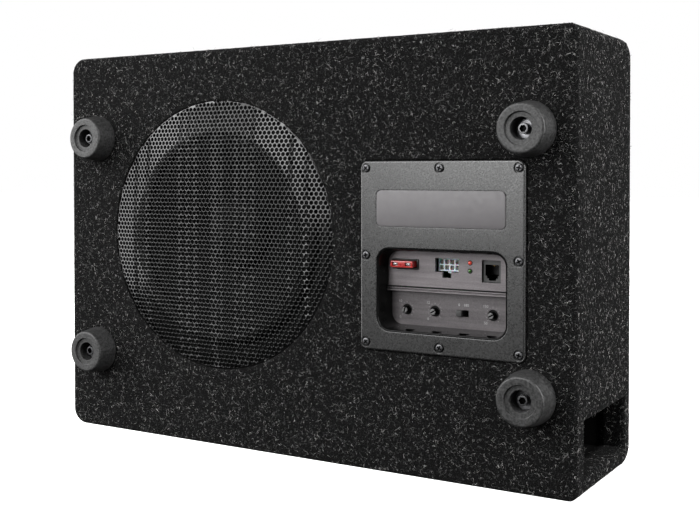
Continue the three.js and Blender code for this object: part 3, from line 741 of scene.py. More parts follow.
def carpet_surface():
    """The felt's outer face as (verts, faces): walls, folds, front, back and port sleeve."""
    box = node_box("carpet_cover")
    duct = opening("port_duct")
    mouth = SimpleNamespace(y0=duct.y0 - 0.4 * MM, y1=duct.y1 + 0.4 * MM,
                            z0=duct.z0 - 0.2 * MM, z1=duct.z1 + 0.3 * MM)
    mouth_z = lip_stations(mouth.z0, mouth.z1)
    outline = carpet_outline(mouth_z)
    ys = lip_stations(mouth.y0, mouth.y1)
    ys = (spaced(box.y0 + FOLD_R, ys[0]) + ys
          + spaced(ys[-1] + 1.2 * MM, box.y1 - FOLD_R, 1.3 * MM))
    folds = soft_edges(box.y0, box.y1, FOLD_R, FOLD_R, FOLD_STEPS)
    stations = folds[:FOLD_STEPS] + [(0.0, y) for y in ys] + folds[-FOLD_STEPS - 1:]
    count = len(outline)
    verts, faces = [], []
    for inset, y in stations:
        share = back_rounding(box, y)
        fold = inset if share == 1 else 0.0
        for x, z, nx, nz in outline:
            sag = lip_sag(y, z, mouth) if nx == 1 else 0.0
            verts.append((x - inset * nx - sag, y, box.z + (z - fold * nz - box.z) * share))

    def in_mouth(i, row):
        _, z, nx, _ = outline[i]
        z_next = outline[(i + 1) % count][1]
        y, y_next = stations[row][1], stations[row + 1][1]
        return (nx == 1 and mouth.z0 - TINY <= z and z_next <= mouth.z1 + TINY
                and mouth.y0 - TINY <= y and y_next <= mouth.y1 + TINY)

    for row in range(len(stations) - 1):
        for i in range(count):
            if not in_mouth(i, row):
                j = (i + 1) % count
                a, b = row * count, (row + 1) * count
                faces.append((a + i, a + j, b + j, b + i))

    # The sleeve: from the mouth's edge into the port.
    tall = [i for i, (_, z, nx, _) in enumerate(outline)
            if nx == 1 and mouth.z0 - TINY <= z <= mouth.z1 + TINY]
    deep = [r for r, (_, y) in enumerate(stations) if mouth.y0 - TINY <= y <= mouth.y1 + TINY]
    edge = ([(r, tall[0]) for r in deep] + [(deep[-1], i) for i in tall[1:]]
            + [(r, tall[-1]) for r in deep[-2::-1]] + [(deep[0], i) for i in tall[-2:0:-1]])
    ring = [row * count + i for row, i in edge]
    start_x = verts[ring[0]][0]
    for x in spaced(start_x, box.x1 - SLEEVE)[1:] + [box.x1 - SLEEVE]:
        base = len(verts)
        verts += [(x, verts[v][1], verts[v][2]) for v in ring]
        following = list(range(base, base + len(ring)))
        for i in range(len(ring)):
            faces.append((ring[i - 1], ring[i], following[i], following[i - 1]))
        ring = following

    front_loop, back_loop = (
        [(verts[i][0], verts[i][2]) for i in range(start, start + count)]
        for start in (0, (len(stations) - 1) * count))
    grille, plate = node_box("grille"), node_box("amp_plate")
    # distance out from a cut-out, and how far the felt's face has dropped there
    droop = [(0.0, 0.5 * MM), (0.35 * MM, 0.16 * MM), (0.9 * MM, 0.03 * MM), (1.6 * MM, 0.0)]
    grille_rings = [(circle(grille.x, grille.z, grille.w / 2 + 0.35 * MM + d, 120), dy)
                    for d, dy in droop]
    plate_rings = [(densified(rounded(plate.x, plate.z, plate.w + MM + 2 * d,
                                      plate.h + MM + 2 * d, 5.5 * MM + d)), dy)
                   for d, dy in droop]
    solids = [(verts, faces)]
    for rings_of in (grille_rings, plate_rings):
        loops = [[(x, box.y0 + dy, z) for x, z in loop] for loop, dy in rings_of]
        hole_verts, hole_faces = tube(loops)
        solids.append((hole_verts, hole_faces[:-2]))
    holes = [grille_rings[-1][0], plate_rings[-1][0]]
    solids.append(flat_region(front_loop, holes, box.y0, grid_points(front_loop, holes)))
    solids.append(flat_region(back_loop, [], box.y1, grid_points(back_loop, [])))
    return joined(*solids)


def densified(loop):
    """The outline with places added along its long sides."""
    out = []
    for a, b in zip(loop, loop[1:] + loop[:1]):
        span = math.dist(a, b)
        pieces = max(1, round(span / GRID))
        out += [(a[0] + (b[0] - a[0]) * k / pieces, a[1] + (b[1] - a[1]) * k / pieces)
                for k in range(pieces)]
    return out


def clear_of(point, loop, gap):
    return min(math.dist(point, p) for p in loop) > gap


def grid_points(outer, holes):
    """Staggered inner points, clear of the outlines."""
    x0, x1 = min(p[0] for p in outer), max(p[0] for p in outer)
    z0, z1 = min(p[1] for p in outer), max(p[1] for p in outer)
    points = []
    for j in range(int((z1 - z0) / GRID)):
        for i in range(int((x1 - x0) / GRID)):
            shift = 0.25 if j % 2 else 0.75
            point = (x0 + (i + shift) * GRID, z0 + (j + 0.5) * GRID)
            near_edge = min(point[0] - x0, x1 - point[0], point[1] - z0,
                            z1 - point[1]) < 2 * GRID
            if near_edge and not (inside(point, outer) and clear_of(point, outer, 0.5 * GRID)):
                continue
            if any(inside(point, h) or not clear_of(point, h, 0.5 * GRID) for h in holes):
                continue
            points.append(point)
    return points


def make_carpet():
    mesh = finish_mesh("carpet_skin", carpet_surface(), 60, TINY)
    flat_below = CAD_LOW.z + 0.6 * MM  # felt this near the floor stays flat
    sink = 0.06 * MM
    normals = [v.normal.copy() for v in mesh.vertices]
    for vertex, normal in zip(mesh.vertices, normals):
        if vertex.co.z > flat_below:
            vertex.co += normal * (felt_lumps(vertex.co) - sink)
    mesh.update()
    skin = add_piece("carpet_skin", mesh, felt(), ("carpet_cover", "base_carpet"))
    thick = skin.modifiers.new("thickness", "SOLIDIFY")
    thick.thickness, thick.offset = FELT_THICK, -1
    return mesh


# ------------------------------------------------------------------ loose fibres
FIBRE_GAP_MM2 = 7.5  # felt area for each loose fibre
FIBRE_STATIONS = 5
FIBRE_R = 0.065 * MM
FIBRE_MM = 2.5  # usual length
FIBRE_RANGE_MM = (0.7, 7.0)
CURL = 2.4  # spread of the turn from end to end, in radians
WRIGGLE = 1.6
SLEEVE_SHARE = 0.2  # of the loose fibre, inside the port
UNDERSIDE = -0.8  # felt that faces down more than this has no loose fibre


def scatter(mesh, area_each, rng):
    """Random places on a mesh with their normals, evenly by area."""
    mesh.calc_loop_triangles()
    corners = np.array([t.vertices[:] for t in mesh.loop_triangles])
    co = np.array([v.co[:] for v in mesh.vertices])
    a, b, c = (co[corners[:, k]] for k in range(3))
    cross = np.cross(b - a, c - a)
    area = np.linalg.norm(cross, axis=1) / 2
    normal = cross / np.maximum(np.linalg.norm(cross, axis=1, keepdims=True), 1e-12)
    weight = np.where(normal[:, 2] > UNDERSIDE, area, 0)
    weight = weight * np.where(in_sleeve(a), SLEEVE_SHARE, 1.0)
    count = int(weight.sum() / (area_each * MM * MM))
    chosen = rng.choice(len(area), size=count, p=weight / weight.sum())
    u, v = rng.random(count), rng.random(count)
    flip = u + v > 1
    u[flip], v[flip] = 1 - u[flip], 1 - v[flip]
    place = a[chosen] + u[:, None] * (b - a)[chosen] + v[:, None] * (c - a)[chosen]
    return place, normal[chosen]


def in_sleeve(places):
    """True for places on the felt inside the port, where little loose fibre gathers."""
    box, duct = node_box("carpet_cover"), opening("port_duct")
    x, y, z = places.T
    return ((x < box.x1 - 1.5 * MM) & (x > box.x1 - SLEEVE - MM)
            & (y > duct.y0 - 1.5 * MM) & (y < duct.y1 + 1.5 * MM)
            & (z > duct.z0 - 1.5 * MM) & (z < duct.z1 + 1.5 * MM)
            & (np.abs(y - box.y0) > MM))


def curled_strands(place, normal, rng):
    """Centrelines (count, stations, 3) of fibres that curl over the felt and lift off it."""
    count = len(place)
    spare = np.where(np.abs(normal[:, 2:3]) < 0.9, [[0, 0, 1.0]], [[1.0, 0, 0]])
    side = np.cross(normal, spare)
    side /= np.linalg.norm(side, axis=1, keepdims=True)
    other = np.cross(normal, side)
    length = np.exp(rng.normal(math.log(FIBRE_MM), 0.5, count)).clip(*FIBRE_RANGE_MM) * MM
    heading = rng.random(count) * 2 * math.pi
    curl = rng.normal(0, CURL, count)
    wriggle = rng.normal(0, WRIGGLE, count)
    steps = np.linspace(0, 1, FIBRE_STATIONS)
    angle = heading[:, None] + curl[:, None] * steps + wriggle[:, None] * np.sin(4.5 * steps)
    stride = (length / (FIBRE_STATIONS - 1))[:, None]
    forward = np.cumsum(np.cos(angle) * stride, axis=1)
    across = np.cumsum(np.sin(angle) * stride, axis=1)
    lift = (rng.random(count) ** 2 * 0.5 + 0.1) * MM
    rise = np.sin(math.pi * (0.08 + 0.84 * steps))[None] * lift[:, None] * 0.6 - 0.02 * MM
    return (place[:, None] + forward[..., None] * side[:, None] + across[..., None] * other[:, None]
            + rise[..., None] * normal[:, None])


def strand_tubes(lines, normal, radius):
    """Closed three-sided tubes with pointed ends along the centrelines."""
    count, stations, _ = lines.shape
    along = np.gradient(lines, axis=1)
    along /= np.maximum(np.linalg.norm(along, axis=2, keepdims=True), 1e-9)
    up = np.repeat(normal[:, None], stations, axis=1)
    across = np.cross(along, up)
    across /= np.maximum(np.linalg.norm(across, axis=2, keepdims=True), 1e-9)
    up = np.cross(across, along)
    rings = []
    for k in range(3):
        a = math.radians(90 + 120 * k)
        reach = math.cos(a) * across + math.sin(a) * up
        rings.append(lines[:, 1:-1] + reach[:, 1:-1] * radius[:, None, None])
    body = np.stack(rings, axis=2).reshape(count, -1, 3)
    verts = np.concatenate([lines[:, :1], body, lines[:, -1:]], axis=1)
    faces, last = [], 1 + 3 * (stations - 2)
    for k in range(3):
        n = (k + 1) % 3
        faces += [(0, 1 + n, 1 + k), (last, last - 3 + k, last - 3 + n)]
        for s in range(stations - 3):
            a, b = 1 + 3 * s, 4 + 3 * s
            faces += [(a + k, a + n, b + n), (a + k, b + n, b + k)]
    faces = np.array(faces)[None] + (np.arange(count) * verts.shape[1])[:, None, None]
    return verts.reshape(-1, 3), faces.reshape(-1, 3)


def make_fibres(mesh):
    rng = np.random.default_rng(11)
    place, normal = scatter(mesh, FIBRE_GAP_MM2, rng)
    lines = curled_strands(place, normal, rng)
    radius = FIBRE_R * np.exp(rng.normal(0, 0.25, len(place)))
    verts, faces = strand_tubes(lines, normal, radius)
    verts[:, 2] = np.maximum(verts[:, 2], CAD_LOW.z + 0.05 * MM)
    made = bpy.data.meshes.new("carpet_fibres")
    made.vertices.add(len(verts))
    made.vertices.foreach_set("co", verts.ravel())
    made.loops.add(len(faces) * 3)
    made.loops.foreach_set("vertex_index", faces.ravel())
    made.polygons.add(len(faces))
    made.polygons.foreach_set("loop_start", np.arange(len(faces)) * 3)
    made.polygons.foreach_set("use_smooth", [True] * len(faces))
    made.update(calc_edges=True)
    add_piece("carpet_fibres", made, fibre())


# ------------------------------------------------------------------ grille
HOLE_PITCH = 3.66 * MM
HOLE_R = 1.5 * MM
HOLE_ROLL = 0.19 * MM  # rounding that the punch leaves on each hole's front edge
SHEET = 0.9 * MM


def dome(r, low_y, rim_r):
    """Depth of the grille's front face at a radius: slightly crowned, then a sloping border
    and a rolled rim."""
    crown, flat_r, bend, rim_drop = 0.1 * MM, 78 * MM, 1.2 * MM, 3.7 * MM
    forward = 1.8 * MM  # of the CAD's face, so that the rim meets the felt
    roll_w, roll_r = 0.9 * MM, 2.2 * MM
    slope = rim_drop / (rim_r - flat_r)
    past = r - flat_r
    drop = crown * (min(r, flat_r) / flat_r) ** 2
    if past >= bend:
        drop += slope * past
    elif past > -bend:
        drop += slope * (past + bend) ** 2 / (4 * bend)
    roll = max(0.0, r - (rim_r - roll_w))
    return low_y - forward + drop + roll ** 2 / roll_r


def make_grille():
    box = node_box("grille")
    rim_r = box.w / 2
    key_of, flat, fans, rolled = {}, [], [], []

    def plan(x, z, limit):
        """Index of a plan point, pulled in to the limit radius."""
        key = (round(x / MM * 50), round(z / MM * 50), round(limit / MM * 50))
        if key not in key_of:
            r = math.hypot(x, z)
            k = min(1.0, limit / r) if r else 1.0
            key_of[key] = len(flat)
            flat.append((x * k, z * k))
        return key_of[key]

    reach = HOLE_PITCH / math.sqrt(3)
    rows = int(rim_r / (HOLE_PITCH * math.sqrt(0.75))) + 1
    for row in range(-rows, rows + 1):
        z = row * HOLE_PITCH * math.sqrt(0.75)
        for column in range(-rows - 2, rows + 3):
            x = (column + (row % 2) / 2) * HOLE_PITCH
            far = math.hypot(x, z)
            if far > rim_r + 0.35 * reach:
                continue
            hexagon = [plan(x + reach * math.sin(math.radians(60 * k)),
                            z + reach * math.cos(math.radians(60 * k)), rim_r)
                       for k in range(6)]
            if far > rim_r - 0.6 * MM:
                fans.append(tuple(dict.fromkeys(hexagon)))
                continue
            rims = [[plan(x + r * math.sin(math.radians(30 * k)),
                          z + r * math.cos(math.radians(30 * k)), rim_r - margin)
                     for k in range(12)]
                    for r, margin in ((HOLE_R + HOLE_ROLL, 0.45 * MM), (HOLE_R, 0.75 * MM))]
            rolled.append((hexagon, *rims))

    back_of = len(flat)
    verts = []
    inner = {i for _, _, hole in rolled for i in hole}
    for i, (x, z) in enumerate(flat):
        y = dome(math.hypot(x, z), box.y0, rim_r) + (HOLE_ROLL * 0.4 if i in inner else 0.0)
        verts.append((box.x + x, y, box.z + z))
    verts += [(box.x + x, dome(math.hypot(x, z), box.y0, rim_r) + SHEET, box.z + z)
              for x, z in flat]
    faces = [f for f in fans if len(f) > 2] + [
        tuple(i + back_of for i in f[::-1]) for f in fans if len(f) > 2]
    for hexagon, edge, hole in rolled:
        for k in range(6):
            corner, following = hexagon[k], hexagon[(k + 1) % 6]
            for ring, shift in ((edge, 0), (hole, back_of)):
                a, b, c = ring[2 * k - 1], ring[2 * k], ring[2 * k + 1]
                for face in ((corner, a, b), (corner, b, c), (corner, c, following)):
                    if len(set(face)) == 3:
                        faces.append(tuple(i + shift for i in face))
        for k in range(12):
            n = (k + 1) % 12
            faces += [(edge[k], edge[n], hole[n], hole[k]),
                      (hole[k], hole[n], hole[n] + back_of, hole[k] + back_of)]
    faces += rim_wall(faces, back_of)
    mesh = finish_mesh("grille_sheet", (verts, faces), 15)
    sheet = flat_faced(add_piece("grille_sheet", mesh, powder_coat(
        "grille_paint", 0.004, 0.15, 0.5, 0.002, Specular_IOR_Level=0.62),
        ("grille",)))
    edge_y = dome(rim_r, box.y0, rim_r)
    flange = lathe(soften([
        (rim_r, edge_y + 0.3 * MM), (rim_r, box.y1), (rim_r - SHEET, box.y1),
        (rim_r - SHEET, edge_y + 0.6 * MM)], 0.15 * MM, closed=True), box.x, box.z, 128)
    add_piece("grille_flange", flange, sheet.data.materials[0])


def rim_wall(faces, back_of):
    """Walls that close the sheet where a front edge has one face only."""
    seen = {}
    for face in faces:
        if all(i < back_of for i in face):
            for a, b in zip(face, face[1:] + face[:1]):
                seen.setdefault(frozenset((a, b)), []).append((a, b))
    closed = {frozenset(p) for face in faces if any(i >= back_of for i in face)
              and any(i < back_of for i in face) for p in zip(face, face[1:] + face[:1])}
    return [(pair[0][0], pair[0][1], pair[0][1] + back_of, pair[0][0] + back_of)
            for key, pair in seen.items() if len(pair) == 1 and key not in closed]


# ------------------------------------------------------------------ driver behind the grille
NECK_R = 19.9 * MM  # where cone and spider meet the voice coil
CONE_WALL = 0.9 * MM
CAP_WALL = 0.7 * MM


def make_driver():
    cone, cap, ring = node_box("cone"), node_box("dust_cap"), node_box("surround")
    x, z = cone.x, cone.z
    paper = powder_coat("cone_paper", 0.006, 0.7, 0.8, 0.05, Specular_IOR_Level=0.1)
    rim_r = cone.w / 2
    steps = 14
    curve = []
    for i in range(steps + 1):
        t = i / steps
        r = rim_r - 3 * MM + (NECK_R - rim_r + 3 * MM) * t
        curve.append((r, cone.y0 + (cone.d - MM) * (1 - (1 - t) ** 1.35)))
    front = [(rim_r, cone.y0), *curve]
    back = [(r, y + CONE_WALL) for r, y in front[::-1]]
    add_piece("cone_body", lathe(front + back, x, z, 96), paper, ("cone",),
              "cone_assembly", 50)
    dome_front = [(cap.w / 2 * math.sin(a), cap.y0 + (cap.d - 0.8 * MM) * (1 - math.cos(a)))
                  for a in (math.pi / 2 * k / 10 for k in range(11))]
    dome_back = [(r, y + CAP_WALL) for r, y in dome_front[::-1]]
    profile = [(max(r, 0.0), y) for r, y in dome_front + dome_back]
    profile[0], profile[-1] = (0.0, profile[0][1]), (0.0, profile[-1][1])
    add_piece("dust_dome", lathe(profile, x, z, 96), paper, ("dust_cap",),
              "cone_assembly", 50)
    roll_piece(ring, x, z)
    spider_piece(x, z)


def radial_blend(piece):
    """Bakes the piece's placement into its mesh."""
    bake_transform(piece)


def blended_piece(name, solid, material, node):
    piece = bpy.data.objects.new(name, finish_mesh(name, solid, 60))
    bpy.context.scene.collection.objects.link(piece)
    piece.data.materials.append(material)
    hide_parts(node)
    return piece


def roll_piece(ring, x, z):
    """The rubber surround: a half roll between two glued lips."""
    lip = ring.y1 - 0.8 * MM
    roll_r, thick = 4.9 * MM, 0.8 * MM
    middle, inner_r = 79.5 * MM, 71.4 * MM
    arc = [math.radians(-180 * k / 12) for k in range(13)]
    outer = [(middle + roll_r * math.cos(a), lip + roll_r * math.sin(a)) for a in arc]
    inner = [(middle + (roll_r - thick) * math.cos(a), lip + thick + (roll_r - thick)
              * math.sin(a)) for a in arc[::-1]]
    profile = [(ring.w / 2, lip), *outer, (inner_r, lip), (inner_r, lip + thick), *inner,
               (ring.w / 2, lip + thick)]
    piece = blended_piece("surround_roll", lathe(profile, x, z, 96), moulded(
        "surround_rubber", grey(0.006), 0.6, 0.5, 0.03,
        Specular_IOR_Level=0.15), "surround")
    radial_blend(piece)


def spider_piece(x, z):
    """The corrugated cloth disc that centres the voice coil."""
    box = node_box("spider")
    outer_r, thick = box.w / 2, 0.7 * MM
    waves, wave_depth, steps = 4.5, 1.1 * MM, 56
    front = []
    for k in range(steps + 1):
        r = outer_r + (NECK_R - outer_r) * k / steps
        swing = wave_depth * math.sin(2 * math.pi * waves * k / steps)
        fade = min(1.0, 6 * min(k / steps, 1 - k / steps))
        front.append((r, box.y + swing * fade - thick / 2))
    profile = front + [(r, y + thick) for r, y in front[::-1]]
    piece = blended_piece("spider_disc", lathe(profile, x, z, 72), cloth(
        "spider_cloth", (0.42, 0.25, 0.09), 0.7), "spider")
    radial_blend(piece)


# ------------------------------------------------------------------ feet
def make_feet():
    """Rubber buffers: a flat annulus, a lower ring inside it and a deep well for the bolt."""
    bolt_front = node_box("foot_bolt_1").y0
    rubber = powder_coat("foot_rubber", 0.030, 0.46, 1.5, 0.25, spread=0.85,
                         Specular_IOR_Level=0.55)
    washer_zinc = metal("foot_washer_zinc", (0.26, 0.26, 0.27), 0.35)
    # The bolt's socket and the side of its head are painted black: painted shade in the well.
    head_zinc = metal("foot_bolt_zinc", (0.15, 0.15, 0.155), 0.36,
                      recess_shade_depths=(bolt_front + 0.3 * MM, bolt_front + 0.7 * MM))
    bore_r, well_r, ring_r, annulus_r, face_r = (r * MM for r in (2.4, 7.2, 10.5, 10.9, 15.9))
    for i in range(1, 5):
        box, bolt = node_box(f"foot_{i}"), node_box(f"foot_bolt_{i}")
        base_r, front, back = box.w / 2, box.y0, box.y1
        well_floor, step = bolt.y0 + 6.2 * MM, front + 1.7 * MM
        outer = soften([(annulus_r, front), (face_r, front), (base_r, back - 1.4 * MM),
                        (base_r, back)], 1.5 * MM, 5)
        inner = soften([
            (bore_r, back), (bore_r, well_floor), (well_r, well_floor), (well_r, step),
            (ring_r, step), (ring_r + 0.1 * MM, front + 0.3 * MM), (annulus_r, front),
        ], 0.3 * MM)
        flat_faced(add_piece(f"rubber_foot_{i}", lathe(inner + outer[1:], box.x, box.z, 96),
                             rubber, (f"foot_{i}",), sharp_deg=50))
        washer = washer_section(3.0 * MM, 6.4 * MM, well_floor - 0.1 * MM,
                                well_floor - 1.0 * MM, 0.25 * MM)
        add_piece(f"foot_washer_{i}", lathe(washer, box.x, box.z, 64), washer_zinc)
        head_r, socket_r = bolt.w / 2 - 0.1 * MM, 2.45 * MM
        head = soften([
            (0, bolt.y1), (1.9 * MM, bolt.y1), (1.9 * MM, well_floor - 1.1 * MM),
            (head_r, well_floor - 1.1 * MM), (head_r, bolt.y0), (0, bolt.y0)], 0.35 * MM)
        hexagon = circle(bolt.x, bolt.z, socket_r, 6)
        socket = tube([[(px, y, pz) for px, pz in hexagon]
                       for y in (bolt.y0 - MM, bolt.y0 + 2.6 * MM)])
        mesh = cut_mesh(f"socket_bolt_{i}", lathe(head, bolt.x, bolt.z, 48), socket)
        add_piece(f"socket_bolt_{i}", mesh, head_zinc, (f"foot_bolt_{i}",))


# ------------------------------------------------------------------ amplifier faceplate
SCREW_SEAT_R = 3.65 * MM
SCREW_SEAT_DEPTH = 1.3 * MM
LABEL_DEPTH = 0.8 * MM
PLATE_R = 5 * MM
LABEL_R = 4 * MM
WINDOW_R = 10 * MM
PLATE_EDGE = 1.2 * MM  # roundings of the edges at the front
WINDOW_EDGE = 0.5 * MM
LABEL_EDGE = 0.22 * MM
SEAT_EDGE = 0.2 * MM


def window_size():
    """The faceplate's window, a little smaller than the tray's flange behind it."""
    tray = node_box("control_tray")
    return SimpleNamespace(x=tray.x, z=tray.z, w=tray.w - 2 * MM, h=tray.h - 2 * MM,
                           r=WINDOW_R)


def make_faceplate():
    plate, label = node_box("amp_plate"), node_box("label_inlay")
    window = window_size()
    front, back = plate.y0, plate.y1
    screws = [node_box(f"plate_screw_{i}") for i in range(1, 9)]

    def outer(inset):
        return rounded(plate.x, plate.z, plate.w - 2 * inset, plate.h - 2 * inset,
                       PLATE_R - inset, 8)

    def window_loop(grow):
        return rounded(window.x, window.z, window.w + 2 * grow, window.h + 2 * grow,
                       window.r + grow, 10)

    def label_loop(grow):
        return rounded(label.x, label.z, label.w + 0.6 * MM + 2 * grow,
                       label.h + 0.6 * MM + 2 * grow, LABEL_R + grow, 8)

    solids = []

    def wall(loop, end, edge, steps, floor=False):
        """A side from the front face back to end, rounded at the front, with a floor or open."""
        verts, faces = tube([[(x, y, z) for x, z in loop(inset)]
                             for inset, y in soft_edges(front, end, edge, 0, steps)])
        solids.append((verts, faces[:-2] + (faces[-1:] if floor else [])))

    wall(outer, back, PLATE_EDGE, 5)
    wall(window_loop, back, WINDOW_EDGE, 3)
    wall(label_loop, front + LABEL_DEPTH, LABEL_EDGE, 2, True)
    holes = [window_loop(WINDOW_EDGE), label_loop(LABEL_EDGE)]
    for screw in screws:
        def seat_loop(grow, at=screw):
            return circle(at.x, at.z, SCREW_SEAT_R + grow, 40)

        wall(seat_loop, front + SCREW_SEAT_DEPTH, SEAT_EDGE, 2, True)
        holes.append(seat_loop(SEAT_EDGE))
    solids.append(flat_region(outer(PLATE_EDGE), holes, front))
    solids.append(flat_region(outer(0), [window_loop(0)], back))
    coat = powder_coat("faceplate_coat", 0.020, 0.27, 0.36, 0.03, Specular_IOR_Level=1.0)
    flat_faced(add_piece("amp_faceplate", joined(*solids), coat,
                         ("amp_plate",)))
    film = moulded("inlay_film", (0.092, 0.085, 0.090), 0.50, 1.6, 0.002, 0.05,
                   Specular_IOR_Level=1.0)
    add_piece("blank_inlay", slab(label.x, label.z, label.w - 0.1 * MM, label.h - 0.1 * MM,
              3.7 * MM, label.y0 - 0.02 * MM, label.y1, 0.25 * MM, 0, 8), film,
              ("label_inlay",))


def make_screws():
    """Eight flattish pan-head screws with a cross recess, each turned to its own angle."""
    top = node_box("plate_screw_1").y0 + 0.25 * MM
    # The cross recess and the head's side are painted black: painted shade.
    zinc = metal("screw_zinc", (0.14, 0.14, 0.145), 0.36,
                 recess_shade_depths=(top + 0.25 * MM, top + 0.5 * MM))
    head_r, shank_r, arm, half = (v * MM for v in (2.75, 1.5, 2.0, 0.5))
    for i in range(1, 9):
        box = node_box(f"plate_screw_{i}")
        seat = box.y0 + 1.7 * MM
        profile = soften([
            (0, top), (head_r * 0.75, top + 0.06 * MM), (head_r, top + 0.55 * MM),
            (head_r, seat), (shank_r, seat), (shank_r, box.y1), (0, box.y1)], 0.3 * MM, 4)
        cross = [leaning_bar(box.x, box.z, arm, half, math.radians(17 * i + start),
                             ((top - 0.5 * MM, 1.0), (top + 1.3 * MM, 0.7)))
                 for start in (31, 121)]
        mesh = cut_in_turn(f"pan_screw_{i}", lathe(profile, box.x, box.z, 48), cross)
        add_piece(f"pan_screw_{i}", mesh, zinc, (f"plate_screw_{i}",))


# ------------------------------------------------------------------ tray and control panel
DIMPLES = (-23.8, -4, 15.8, 35.6)  # mm across from the window's middle
DIMPLE_R = 3.6 * MM
LIGHT_HOLE_R = 1.8 * MM
TRIM_HOLE_R = 3.8 * MM


def make_tray():
    tray, plate = node_box("control_tray"), node_box("amp_plate")
    window = window_size()
    rim, flange, end = plate.y0 + 0.35 * MM, plate.y1 + 0.25 * MM, tray.y1

    def loop(w, h, r, y):
        return [(x, y, z) for x, z in rounded(window.x, window.z, w, h, r, 10)]

    w, h = window.w, window.h
    lean_w, lean_h, lean_r = 4.9 * MM, 4.1 * MM, 0.8 * MM  # how the walls draw in behind
    inner = []
    for k in range(9):
        t = k / 8
        drop = t ** 0.9
        inner.append(loop(w - 2.6 * MM - lean_w * drop, h - 2.6 * MM - lean_h * drop,
                          window.r - 1.3 * MM - lean_r * t,
                          end + (rim + 0.5 * MM - end) * (1 - t)))
    walls = tube([
        loop(w - 0.3 * MM, h - 0.3 * MM, window.r - 0.15 * MM, rim + 0.35 * MM),
        loop(w - 0.3 * MM, h - 0.3 * MM, window.r - 0.15 * MM, flange),
        loop(w + 1.8 * MM, h + 1.8 * MM, window.r, flange + 0.02 * MM),
        loop(w - 1.4 * MM, h - 0.4 * MM, window.r, end),
        *inner[::-1],
        loop(w - 1.9 * MM, h - 1.9 * MM, window.r - 0.95 * MM, rim + 0.08 * MM),
        loop(w - 1.2 * MM, h - 1.2 * MM, window.r - 0.6 * MM, rim),
    ], closed=True)
    upper, lower = panel_faces()
    panel = node_box("control_panel")
    step_z = rib_height()
    gap = 0.15 * MM
    past = 0.02  # metres that the cutting blocks reach beyond the panel's ends
    steps = [(upper - gap, step_z, 1), (lower - gap, 0.05, step_z + MM),
             (upper - 1.6 * MM, step_z - 0.4 * MM, step_z + 3.8 * MM)]
    tools = [box_at(panel.x0 - past, panel.x1 + past, y0, end + 0.01, z0, z1)
             for y0, z0, z1 in steps]
    for dx in DIMPLES:
        for up in (-1, 1):
            middle = window.z + up * (h / 2 - 0.7 * MM)
            ring = circle(window.x + dx * MM, plate.y1 + 1.3 * MM, DIMPLE_R, 32)
            tools.append(tube([[(px, py, z) for px, py in ring]
                               for z in (middle - 1.3 * MM, middle + 1.3 * MM)]))
    gloss = moulded("tray_gloss", grey(0.004), 0.2, 2.2, 0.006, 0.2, IOR=1.25,
                    Specular_IOR_Level=0.5)
    mesh = cut_in_turn("tray_walls", walls, tools)
    add_piece("tray_walls", mesh, gloss, ("control_tray",))


def panel_faces():
    """Depths of the control panel's upper and lower faces."""
    panel, jack = node_box("control_panel"), node_box("remote_jack")
    return jack.y0 - 1.8 * MM, panel.y1 - 2 * MM


def rib_height():
    """Height at which the panel steps back, at the foot of its double rib."""
    return node_box("control_panel").z0 + 26.5 * MM


def make_panel():
    panel = node_box("control_panel")
    upper, lower = panel_faces()
    step = rib_height()
    inner_step = step + 2 * MM
    rib = [(0, 3.5), (2.0, 3.5), (2.0, 2.3), (-0.2, 2.3), (-0.2, 1.8), (2.0, 1.8),
           (2.0, 0.6), (-0.2, 0.6), (-0.2, 0)]
    front = [(upper + 0.5 * MM, panel.z1), (upper, panel.z1 - 1.0 * MM), (upper, step + 3.5 * MM)]
    front += [(upper + dy * MM, step + dz * MM) for dy, dz in rib[1:]]
    front += [(lower, step), (lower, panel.z0 + 1.4 * MM), (lower - 0.4 * MM, panel.z0 + 0.9 * MM),
              (lower - 0.4 * MM, panel.z0)]
    back = [(panel.y1, panel.z0), (panel.y1, inner_step), (upper + 2 * MM, inner_step),
            (upper + 2 * MM, panel.z1)]
    outline = soften(front + back, 0.18 * MM, 2, closed=True)
    solid = tube([[(x, y, z) for y, z in outline] for x in (panel.x0, panel.x1)])
    through = (upper - 5 * MM, panel.y1 + 5 * MM)
    tools = [slab(*hole, *through, arc=4) for hole in panel_holes()]
    tools += [rod(*hole, *through) for hole in round_holes()]
    mesh = cut_mesh("panel_face", solid, *tools)
    piece = add_piece("panel_face", mesh, anodised(upper + MM, lower - MM),
                      ("control_panel",))
    bevelled(piece, 0.14)


def panel_holes():
    """(x, z, w, h, r) of the panel's square-cornered cut-outs."""
    fuse, header, jack = (node_box(n) for n in ("fuse_holder", "power_header", "remote_jack"))
    switch = node_box("phase_switch")
    header_z = header.z1 - HEADER_H / 2
    sharp = 0.3 * MM
    return [
        (fuse.x, fuse.z, fuse.w + 0.4 * MM, fuse.h + 0.4 * MM, 0.9 * MM),
        (header.x, header_z, 17.4 * MM, 9.4 * MM, sharp),
        (header.x, header_z - 6.6 * MM, 6.5 * MM, 3.9 * MM, sharp),
        (jack.x, jack.z, jack.w + 0.4 * MM, jack.h + 0.4 * MM, sharp),
        (switch.x, switch.z, 8.8 * MM, 4.6 * MM, sharp),
    ]


def round_holes():
    """(x, z, r) of the panel's holes for the lights and the trim controls."""
    lights = [node_box(f"status_light_{color}") for color in ("red", "green")]
    shafts = [node_box(f"{name}_shaft") for name in TRIMS]
    return ([(b.x, b.z, LIGHT_HOLE_R) for b in lights]
            + [(b.x, b.z, TRIM_HOLE_R) for b in shafts])


# ------------------------------------------------------------------ what sits in the panel
HEADER_W = 16.8 * MM
HEADER_H = 8.8 * MM
HEADER_PITCH = 3.95 * MM
CONTACT_PITCH = 1.27 * MM
LENS_R = 1.2 * MM
# radii of the black rings of painted shade in the holes round the lenses and the trim shafts
LENS_SHADE_RING_R = (1.23 * MM, 1.77 * MM)
TRIM_SHADE_RING_R = (2.35 * MM, 3.75 * MM)


